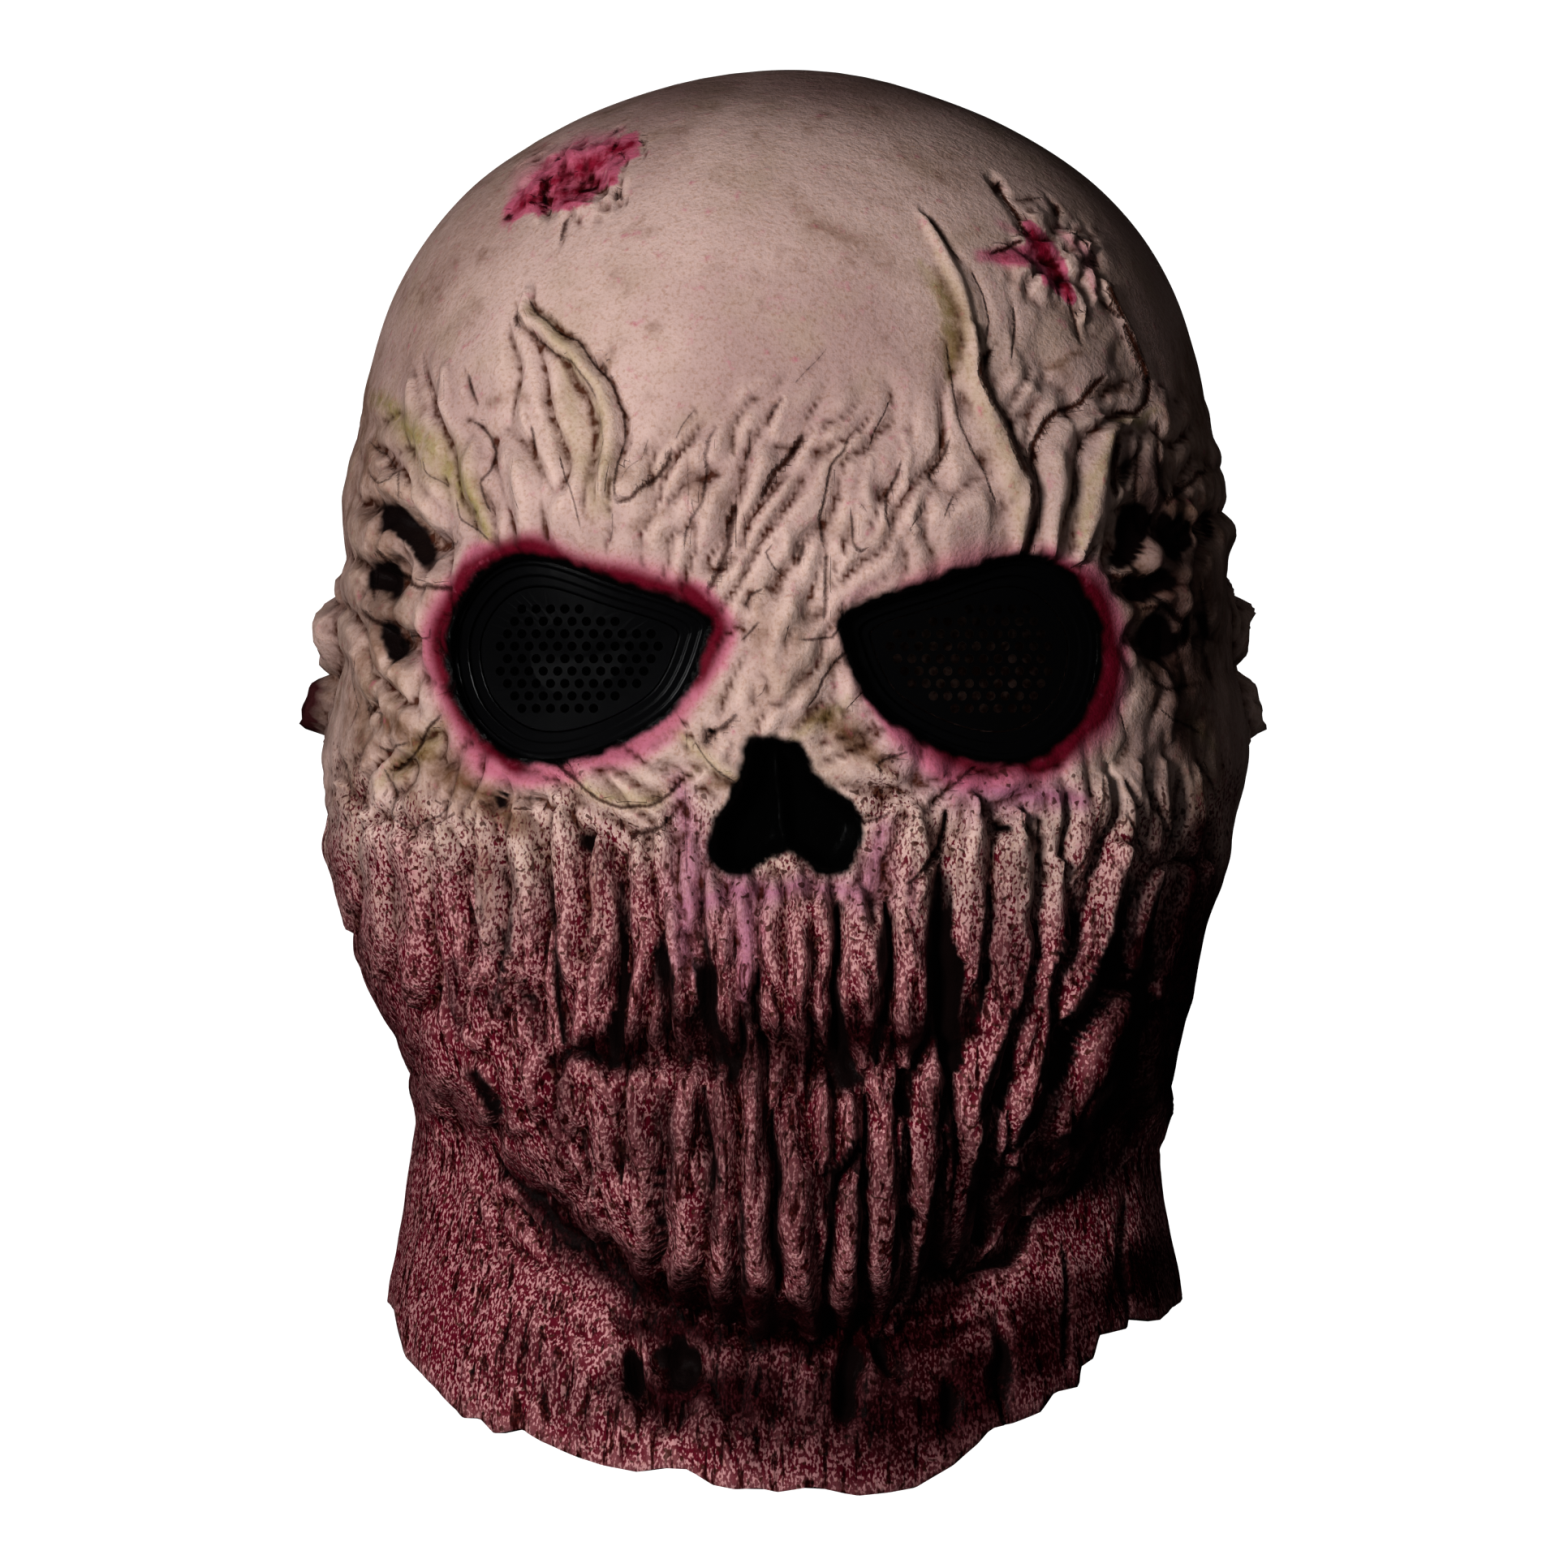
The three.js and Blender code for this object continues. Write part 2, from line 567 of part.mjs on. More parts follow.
// Point of the smooth base that shows at a place of the front view
function placeInFrontView(across, down) {
  const eyeLevel = VIEW_LEVEL * MASK_HEIGHT;
  let depth = -0.4 * HEAD_DEPTH;
  for (let pass = 0; pass < 12; pass += 1) {
    const scale = (VIEW_DISTANCE + depth) / VIEW_DISTANCE;
    const x = across * scale;
    const realDown = (eyeLevel + (down - eyeLevel) * scale) / MASK_HEIGHT;
    depth = surfaceDepth(x, realDown);
  }
  const scale = (VIEW_DISTANCE + depth) / VIEW_DISTANCE;
  return new THREE.Vector3(
    across * scale, depth, WALL - eyeLevel - (down - eyeLevel) * scale);
}

// Y of the smooth base in front of a point x, down, by halving the turn
function surfaceDepth(x, down) {
  let near = 0;
  let far = Math.PI / 2;
  for (let pass = 0; pass < 24; pass += 1) {
    const middle = (near + far) / 2;
    if (basePoint(middle, down).x < Math.abs(x)) near = middle;
    else far = middle;
  }
  return basePoint((near + far) / 2, down).y;
}

// Closed block between two depths behind the smooth base. Its outline is a loop of
// shares, which place() puts on the base; turned is true for a mirrored outline.
function faceBlock(outline, place, front, back, turned) {
  const block = new RingMesh();
  const [near, far] = [front, back].map((depth) => {
    const behind = (share) => place(share).add(new THREE.Vector3(0, depth, 0));
    const rings = [0.5, 1].map((reach) => outline.map((share, i) => ({
      turn: 2 * Math.PI * i / outline.length,
      vertex: block.addVertex(behind(share.clone().multiplyScalar(reach))),
    })));
    return { middle: block.addVertex(behind(new THREE.Vector3())), rings };
  });
  block.closeWith(near.middle, near.rings[0], turned);
  block.join(near.rings[0], near.rings[1], turned);
  block.join(near.rings[1], far.rings[1], turned);
  block.join(far.rings[1], far.rings[0], turned);
  block.closeWith(far.middle, far.rings[0], !turned);
  return toSolid(block.geometry());
}

function roundOutline(corners, count) {
  const loop = new THREE.CatmullRomCurve3(corners, true, 'centripetal');
  return loop.getPoints(count).slice(0, -1);
}

const eyeOutline = roundOutline(
  EYE_OUTLINE.map(({ out, down }) => new THREE.Vector3(out, down, 0)), 24);

function eyePlace(side, share, inset) {
  const middle = FACE_MIDDLE * HEAD_WIDTH + side * EYE_SPACING / 2;
  return placeInFrontView(
    middle + side * share.x * (EYE_WIDTH - 2 * inset),
    EYE_DOWN * MASK_HEIGHT + share.y * (EYE_HEIGHT - 2 * inset));
}

// Block with the eye hole's outline, drawn in from its edge by an inset
function eyeBlock(side, inset, front, back) {
  return faceBlock(
    eyeOutline, (share) => eyePlace(side, share, inset), front, back, side > 0);
}

// Depth along Y at which the latex ends behind an eye hole, its slope taken in
const RIM_FRONT = WALL * 1.5 + GAP;
const THROUGH = 40; // longer than any cut needs

function eyeRim(side) {
  const body = eyeBlock(side, -RIM_LAP, RIM_FRONT, RIM_FRONT + RIM_DEPTH);
  const steps = [0, 1, 2].map((step) => {
    const floor = step < 2 ? RIM_FRONT + (step + 1) * STEP_DEPTH : THROUGH;
    return eyeBlock(side, RIM_LIP + step * STEP_WIDTH, -THROUGH, floor);
  });
  return steps.reduce((rim, step) => rim.subtract(step), body);
}

// Keeps the points of a hexagonal grid that lie inside the lens
function meshHoles(side, inset) {
  const middle = eyePlace(side, new THREE.Vector3(), inset);
  const edge = eyeOutline.map((point) => eyePlace(side, point, inset));
  const holes = [];
  const rowStep = MESH_PITCH * Math.sqrt(3) / 2;
  const rows = Math.ceil(EYE_HEIGHT / 2 / rowStep);
  const columns = Math.ceil(EYE_WIDTH / 2 / MESH_PITCH);
  for (let row = -rows; row <= rows; row += 1) {
    for (let column = -columns; column <= columns; column += 1) {
      const x = middle.x + (column + (row % 2 ? 0.5 : 0)) * MESH_PITCH;
      const z = middle.z + row * rowStep;
      if (isInside(x, z, edge)) holes.push({ x, y: middle.y, z });
    }
  }
  return holes;
}

function isInside(x, z, edge) {
  let inside = false;
  edge.forEach((a, i) => {
    const b = edge[(i + 1) % edge.length];
    const crosses = (a.z > z) !== (b.z > z);
    if (crosses && x < a.x + (b.x - a.x) * (z - a.z) / (b.z - a.z)) inside = !inside;
  });
  return inside;
}

function eyeMesh(side) {
  const inset = RIM_LIP + 2 * STEP_WIDTH + GAP;
  const front = RIM_FRONT + 2 * STEP_DEPTH + GAP;
  const plate = eyeBlock(side, inset, front, front + LENS_THICKNESS);
  const margin = inset + MESH_HOLE / 2 + LENS_THICKNESS;
  return meshHoles(side, margin).reduce((lens, hole) => {
    const drill = new THREE.CylinderGeometry(MESH_HOLE / 2, MESH_HOLE / 2, 2 * THROUGH, 6);
    drill.translate(hole.x, hole.y, hole.z);
    return lens.subtract(toSolid(drill));
  }, plate);
}

function noseBlock(inset, front, back) {
  const outline = NOSE_OUTLINE.map(({ across, down }) => new THREE.Vector3(across, down, 0));
  const place = (share) => placeInFrontView(
    NOSE_PLACE.across * HEAD_WIDTH + share.x * (NOSE_WIDTH - 2 * inset),
    NOSE_PLACE.down * MASK_HEIGHT + share.y * (NOSE_HEIGHT - 2 * inset));
  return faceBlock(outline, place, front, back, true);
}

// Sinks the nose into the casting, with latex of full thickness round the hollow
function withNose(casting) {
  const septum = new THREE.BoxGeometry(SEPTUM_WIDTH, THROUGH, 2 * NOSE_HEIGHT);
  const middle = placeInFrontView(
    NOSE_PLACE.across * HEAD_WIDTH, NOSE_PLACE.down * MASK_HEIGHT);
  septum.translate(middle.x, middle.y + SEPTUM_SETBACK + THROUGH / 2, middle.z);
  const hollow = noseBlock(0, -THROUGH, NOSE_DEPTH).subtract(toSolid(septum));
  return casting.add(noseBlock(-WALL, WALL / 2, NOSE_DEPTH + WALL)).subtract(hollow);
}

function maskShell() {
  return [-1, 1].reduce((shell, side) => {
    const hole = eyeBlock(side, 0, -THROUGH, THROUGH);
    const seat = eyeBlock(side, -RIM_LAP - GAP, RIM_FRONT - GAP, THROUGH);
    return shell.subtract(hole).subtract(seat);
  }, withNose(toSolid(castingGeometry())));
}

// Materials
const latex = new THREE.MeshStandardMaterial({ color: 0xa48478, roughness: 0.6, metalness: 0 });
const rimPlastic = new THREE.MeshStandardMaterial({ color: 0x0b0b0c, roughness: 0.25, metalness: 0 });
const lensPlastic = new THREE.MeshStandardMaterial({ color: 0x070708, roughness: 0.4, metalness: 0 });

// Assembly
const mask = new THREE.Group();

function addPiece(name, solid, material) {
  const piece = new THREE.Mesh(toGeometry(solid), material);
  piece.name = name;
  mask.add(piece);
}

addPiece('mask_shell', maskShell(), latex);
addPiece('eye_rim_right', eyeRim(-1), rimPlastic);
addPiece('eye_rim_left', eyeRim(1), rimPlastic);
addPiece('eye_mesh_right', eyeMesh(-1), lensPlastic);
addPiece('eye_mesh_left', eyeMesh(1), lensPlastic);

export default mask;
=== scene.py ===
import math

import bmesh
import bpy
import numpy as np
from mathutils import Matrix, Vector, noise


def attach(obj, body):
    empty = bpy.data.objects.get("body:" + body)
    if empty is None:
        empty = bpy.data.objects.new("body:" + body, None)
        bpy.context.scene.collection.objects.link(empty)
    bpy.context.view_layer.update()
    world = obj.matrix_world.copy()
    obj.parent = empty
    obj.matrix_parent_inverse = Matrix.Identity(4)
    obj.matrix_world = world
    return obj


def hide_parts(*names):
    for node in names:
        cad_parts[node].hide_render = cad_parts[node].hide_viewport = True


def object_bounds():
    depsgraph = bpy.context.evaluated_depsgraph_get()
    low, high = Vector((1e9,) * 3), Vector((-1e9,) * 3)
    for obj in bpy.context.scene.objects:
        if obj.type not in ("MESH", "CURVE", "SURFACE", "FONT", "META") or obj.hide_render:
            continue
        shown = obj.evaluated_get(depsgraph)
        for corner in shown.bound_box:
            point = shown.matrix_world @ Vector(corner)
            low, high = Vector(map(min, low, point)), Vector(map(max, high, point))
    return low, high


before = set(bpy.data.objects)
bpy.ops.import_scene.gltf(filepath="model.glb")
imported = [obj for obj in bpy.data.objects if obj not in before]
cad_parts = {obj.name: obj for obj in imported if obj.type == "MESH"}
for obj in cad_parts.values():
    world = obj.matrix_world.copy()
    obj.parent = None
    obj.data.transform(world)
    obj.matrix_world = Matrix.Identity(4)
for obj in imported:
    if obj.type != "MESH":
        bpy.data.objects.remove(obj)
cad_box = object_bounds()

# Camera
# Level with the middle of the mask and straight in front of the nose, far enough away
# that the cheeks almost hide the ears. Millimetres become metres by MM.
MM = 0.001
VIEW_DISTANCE = 1500  # from the upright axis of the mask
VIEW_DOWN = 157.7  # below the outer crown
VIEW_ACROSS = -0.2
SHOWN_HEIGHT = 347.8  # what the square picture takes in at the upright axis
CROWN = 2.6  # outer crown above the origin, which lies inside it
SENSOR = 36

camera_data = bpy.data.cameras.new("camera")
camera_data.sensor_width = SENSOR
camera_data.lens = SENSOR * VIEW_DISTANCE / SHOWN_HEIGHT
camera = bpy.data.objects.new("camera", camera_data)
camera.location = Vector((VIEW_ACROSS, -VIEW_DISTANCE, CROWN - VIEW_DOWN)) * MM
camera.rotation_euler = (math.radians(90), 0, 0)
bpy.context.scene.collection.objects.link(camera)
bpy.context.scene.camera = camera

# Casting of the mask
# One hollow casting of skull cap, face, ears and neck bib, slush moulded in natural latex
# about 2.6 mm thick, then sprayed, sponged and washed with latex paint.
MASK_HEIGHT = 306
HEAD_WIDTH = 200
HEAD_DEPTH = 230
NECK_WIDTH = 166
NECK_DEPTH = 156
WALL = 2.6
LEAST_WALL = 1.2
JAW_BLEND = 13
FACE_FADE = 0.1 * HEAD_DEPTH  # from the axis back, where the face's detail fades out

# Shares of the head's width and depth at each height, and the superellipse's exponent
HEAD_SECTIONS = [
    # down, half width, front, back, squareness
    (0.000, 0.000, 0.000, 0.000, 2.0),
    (0.018, 0.158, 0.150, 0.165, 2.0),
    (0.041, 0.246, 0.232, 0.255, 2.0),
    (0.088, 0.352, 0.330, 0.362, 2.0),
    (0.159, 0.430, 0.407, 0.443, 2.0),
    (0.253, 0.470, 0.452, 0.495, 2.1),
    (0.346, 0.488, 0.473, 0.513, 2.2),
    (0.441, 0.492, 0.470, 0.509, 2.2),
    (0.516, 0.498, 0.465, 0.476, 2.2),
    (0.582, 0.488, 0.462, 0.424, 2.2),
    (0.627, 0.470, 0.462, 0.380, 2.2),
    (0.676, 0.448, 0.458, 0.330, 2.2),
    (0.722, 0.418, 0.452, 0.285, 2.2),
    (0.768, 0.340, 0.448, 0.225, 2.2),
    (0.810, 0.275, 0.440, 0.175, 2.2),
    (0.843, 0.205, 0.425, 0.130, 2.2),
    (0.869, 0.145, 0.395, 0.090, 2.1),
    (0.889, 0.085, 0.330, 0.060, 2.0),
    (0.915, 0.045, 0.200, 0.040, 2.0),
    (1.050, 0.020, 0.100, 0.020, 2.0),
]

NECK_SECTIONS = [
    # down, half width, front, back, squareness
    (0.000, 0.000, 0.000, 0.000, 2.0),
    (0.390, 0.000, 0.000, 0.000, 2.0),
    (0.490, 0.370, 0.256, 0.440, 2.0),
    (0.654, 0.458, 0.333, 0.545, 2.1),
    (0.722, 0.482, 0.365, 0.560, 2.2),
    (0.781, 0.498, 0.404, 0.562, 2.2),
    (0.840, 0.513, 0.449, 0.570, 2.2),
    (0.889, 0.530, 0.487, 0.583, 2.2),
    (0.948, 0.540, 0.520, 0.596, 2.2),
    (1.050, 0.545, 0.545, 0.610, 2.2),
]


def smooth_curve(rows, column, size):
    """Curve through one column of a table, steep at the crown as a dome is."""
    at = np.sqrt([row[0] for row in rows])
    value = np.array([row[column] for row in rows]) * size
    before = np.maximum(np.arange(len(at)) - 1, 0)
    after = np.minimum(np.arange(len(at)) + 1, len(at) - 1)
    slope = (value[after] - value[before]) / (at[after] - at[before])

    def height(down):
        place = np.clip(np.sqrt(np.maximum(down, 0)), at[0], at[-1])
        i = np.clip(np.searchsorted(at, place, side="right") - 1, 0, len(at) - 2)
        span = at[i + 1] - at[i]
        t = (place - at[i]) / span
        rise = value[i + 1] - value[i]
        start, end = slope[i] * span, slope[i + 1] * span
        return value[i] + t * (start + t * (3 * rise - 2 * start - end + t * (start + end - 2 * rise)))

    return height


head = [smooth_curve(HEAD_SECTIONS, i + 1, size)
        for i, size in enumerate([HEAD_WIDTH, HEAD_DEPTH, HEAD_DEPTH, 1])]
neck = [smooth_curve(NECK_SECTIONS, i + 1, size)
        for i, size in enumerate([NECK_WIDTH, NECK_DEPTH, NECK_DEPTH, 1])]


def section_radius(section, turn, down):
    half, front, back, square = (column(down) for column in section)
    depth = np.where(np.cos(turn) > 0, front, back)
    real = half > 0
    half = np.where(real, half, 1)
    depth = np.where(real, depth, 1)
    total = np.abs(np.sin(turn) / half) ** square + np.abs(np.cos(turn) / depth) ** square
    return np.where(real, total ** (-1 / square), 0)


def base_point(turn, down):
    """Smooth form under the relief: turn from the face towards +X, down as a share of the height."""
    a = section_radius(head, turn, down)
    b = section_radius(neck, turn, down)
    near = np.maximum(JAW_BLEND - np.abs(a - b), 0) / JAW_BLEND
    radius = np.where(b > 0, np.maximum(a, b) + near**2 * JAW_BLEND / 4, a)
    return np.stack(
        [radius * np.sin(turn), -radius * np.cos(turn), CROWN - down * MASK_HEIGHT], axis=-1)


def base_normal(turn, down):
    turn_step = 0.01
    down_step = np.minimum(0.004, down * 0.5)
    across = base_point(turn + turn_step, down) - base_point(turn - turn_step, down)
    along = base_point(turn, down - down_step) - base_point(turn, down + down_step)
    normal = np.cross(across, along)
    return normal / np.linalg.norm(normal, axis=-1, keepdims=True)


def front_view(point):
    """Where a point shows to the camera: millimetres across and down from the crown."""
    nearness = VIEW_DISTANCE / (VIEW_DISTANCE + point[..., 1])
    down = VIEW_DOWN + (CROWN - point[..., 2] - VIEW_DOWN) * nearness
    return point[..., 0] * nearness, down


def face_place(across, down):
    """Turn and share of the height at which the smooth form shows a place of the front view."""
    across = np.asarray(across, float)
    depth = np.full(across.shape, -0.4 * HEAD_DEPTH)
    for _ in range(14):
        scale = (VIEW_DISTANCE + depth) / VIEW_DISTANCE
        x = np.abs(across * scale)
        share = (VIEW_DOWN + (down - VIEW_DOWN) * scale) / MASK_HEIGHT
        near, far = np.zeros(across.shape), np.full(across.shape, math.pi / 2)
        for _ in range(24):
            middle = (near + far) / 2
            inside = base_point(middle, share)[..., 0] < x
            near, far = np.where(inside, middle, near), np.where(inside, far, middle)
        depth = base_point(far, share)[..., 1]
    return np.sign(across) * far, share


def smooth_step(start, end, value):
    t = np.clip((value - start) / (end - start), 0, 1)
    return t * t * (3 - 2 * t)


# Hem of the bib, torn by hand: places in the front view, then turns in degrees and
# drops as shares of the height round the back
HEM_FRONT = [
    (-86.5, 274.5), (-86.0, 279.5), (-84.0, 285.0), (-80.5, 288.5), (-76.3, 293.3),
    (-71.0, 298.4), (-68.0, 298.2), (-64.5, 301.8), (-58.6, 300.6), (-54.0, 303.6),
    (-50.0, 305.4), (-45.5, 307.2), (-40.6, 308.8), (-33.0, 310.3), (-27.5, 309.4),
    (-21.6, 309.7), (-16.0, 313.2), (-11.0, 314.2), (-6.0, 313.8), (-1.7, 314.8),
    (6.7, 313.5), (11.0, 314.6), (16.3, 315.6), (23.0, 314.9), (29.0, 313.8),
    (37.5, 308.7), (42.7, 304.2), (45.9, 300.7), (51.0, 299.4), (56.8, 297.0),
    (60.0, 292.6), (65.2, 291.4), (65.8, 287.0), (68.7, 285.0), (69.7, 280.0),
    (75.8, 278.5), (76.4, 276.0), (83.2, 276.6), (86.0, 273.8),
]
HEM_BACK = [(100, 0.884), (120, 0.893), (150, 0.899), (180, 0.905), (208, 0.904),
            (240, 0.890), (258, 0.882)]
hem_turns, hem_drops = face_place(*np.array(HEM_FRONT).T)
hem_back = np.array(HEM_BACK)
hem_turns = np.concatenate([hem_turns, np.radians(hem_back[:, 0])])
hem_drops = np.concatenate([hem_drops, hem_back[:, 1]])


def hem_drop(turn):
    order = np.argsort(hem_turns)
    return np.interp(turn, hem_turns[order], hem_drops[order], period=2 * math.pi)


# Eye holes, cut out after casting. Out from the middle as a share of the width, away
# from the nose, and down as a share of the height.
EYE_WIDTH = 56
EYE_HEIGHT = 45
EYE_SPACING = 87
EYE_SINK = 1.6
EYE_SLOPE = 3.5
EYE_DOWN = 0.424 * MASK_HEIGHT
FACE_MIDDLE = -0.012 * HEAD_WIDTH
EYE_OUTLINE = [
    (0.500, -0.120), (0.455, 0.230), (0.290, 0.450), (0.090, 0.495), (-0.160, 0.400),
    (-0.380, 0.210), (-0.490, -0.080), (-0.470, -0.220), (-0.150, -0.360), (0.180, -0.490),
    (0.380, -0.400),
]


def round_loop(corners, steps):
    """Closed smooth curve through the corners, with some steps to each."""
    corners = np.array(corners)
    before, after = np.roll(corners, 1, axis=0), np.roll(corners, -1, axis=0)
    beyond = np.roll(corners, -2, axis=0)
    points = []
    for i in range(steps):
        t = i / steps
        points.append(corners + t * 0.5 * ((after - before) + t * (
            2 * before - 5 * corners + 4 * after - beyond
            + t * (3 * corners - before - 3 * after + beyond))))
    return np.stack(points, axis=1).reshape(-1, 2)


eye_loop = round_loop(EYE_OUTLINE, 5)


def eye_view(side, inset=0.0):
    """Outline of an eye hole in the front view, drawn in from its edge."""
    size = np.array([side * (EYE_WIDTH - 2 * inset), EYE_HEIGHT - 2 * inset])
    return eye_loop * size + (FACE_MIDDLE + side * EYE_SPACING / 2, EYE_DOWN)


def outline_distance(across, down, outline):
    """Distance to a closed outline in the front view, negative inside it."""
    near = np.full(across.shape, np.inf)
    inside = np.zeros(across.shape, bool)
    for (x1, w1), (x2, w2) in zip(outline, np.roll(outline, -1, axis=0)):
        run_x, run_w = x2 - x1, w2 - w1
        t = np.clip(((across - x1) * run_x + (down - w1) * run_w) / (run_x**2 + run_w**2), 0, 1)
        near = np.minimum(near, np.hypot(across - x1 - t * run_x, down - w1 - t * run_w))
        if w1 != w2:
            crosses = (w1 > down) != (w2 > down)
            inside ^= crosses & (across < x1 + run_x * (down - w1) / run_w)
    return np.where(inside, -near, near)


# Nose hollow: a heart of bare bone, cast in, with its septum left standing
NOSE_DEPTH = 9
NOSE_SLOPE = 2.6
SEPTUM_WIDTH = 4.2
SEPTUM_SETBACK = 3.5
NOSE_OUTLINE = [
    (0.0, 147.8), (2.6, 148.4), (5.2, 153.0), (8.4, 158.2), (14.2, 162.0), (17.0, 166.0),
    (16.4, 171.4), (12.6, 176.4), (7.4, 176.4), (2.4, 172.6), (-1.6, 172.6), (-6.6, 175.6),
    (-12.6, 177.2), (-15.6, 173.4), (-15.0, 166.0), (-11.6, 161.6), (-9.2, 156.6),
    (-8.0, 152.0), (-7.4, 148.4), (-4.0, 147.6),
]
nose_loop = round_loop(NOSE_OUTLINE, 2)
SEPTUM = [(-2.4, 150.0), (-1.6, 158.0), (-0.6, 168.0), (0.4, 173.0)]

# Relief heights. The tables hold places in the front view, in millimetres across from
# the middle and down from the crown, chosen on the face.
FORM_HEIGHT = 3.5
VEIN_HEIGHT = 2.6
STRAND_HEIGHT = 4.0
GROOVE_DEPTH = 3.0
CREASE_DEPTH = 0.6
CREASE_SLOPE = 2.6  # width of a crease's soft shoulders
FOLD_HEIGHT = 1.3
PIT_DEPTH = 4.6
EAR_HEIGHT = 6

# The swellings of the face: brows, nose, cheekbones, lips and chin
FORMS = [
    # across, down, half wide, half tall, lean, size
    (-43, 95.5, 36, 13.8, 14, 0.8),
    (41, 95.5, 36, 13.8, -14, 0.8),
    (-1.6, 134.6, 14, 26, 0, 1.2),
    (-73, 165.2, 26, 18.4, 0, 0.8),
    (71, 165.2, 26, 18.4, 0, 0.8),
    (0, 195.8, 48, 33.7, 0, 1.1),
    (0, 252.5, 34, 21.4, 0, 1.2),
]

# Thick veins over the forehead and temples
VEINS = [
    # places, width, size
    ([(-56, 49.5), (-56.8, 54.5), (-51.5, 59), (-46, 63.5), (-41.6, 69.8), (-38.6, 77), (-38.4, 84),
      (-39.4, 95)], 6.2, 0.9),
    ([(29.5, 32), (34, 38.5), (37.6, 45.5), (40.2, 54), (41.2, 62)], 4.6, 0.6),
    ([(41, 57), (42, 68), (45.8, 77.5), (49.4, 86.5), (51.4, 95), (51.2, 107)], 9.6, 1.1),
    ([(69, 76.5), (62.5, 78.5), (59.6, 85), (59.2, 94), (58.4, 107)], 9, 1),
    ([(75, 78), (70.6, 81), (68.4, 90), (68.2, 98), (64.6, 107)], 8.8, 1),
    ([(69.6, 45.5), (72.6, 51), (76.2, 58.5), (80.2, 68)], 3.6, 0.7),
    ([(50, 58.5), (51.5, 68), (56, 72)], 10, 0.3),
]

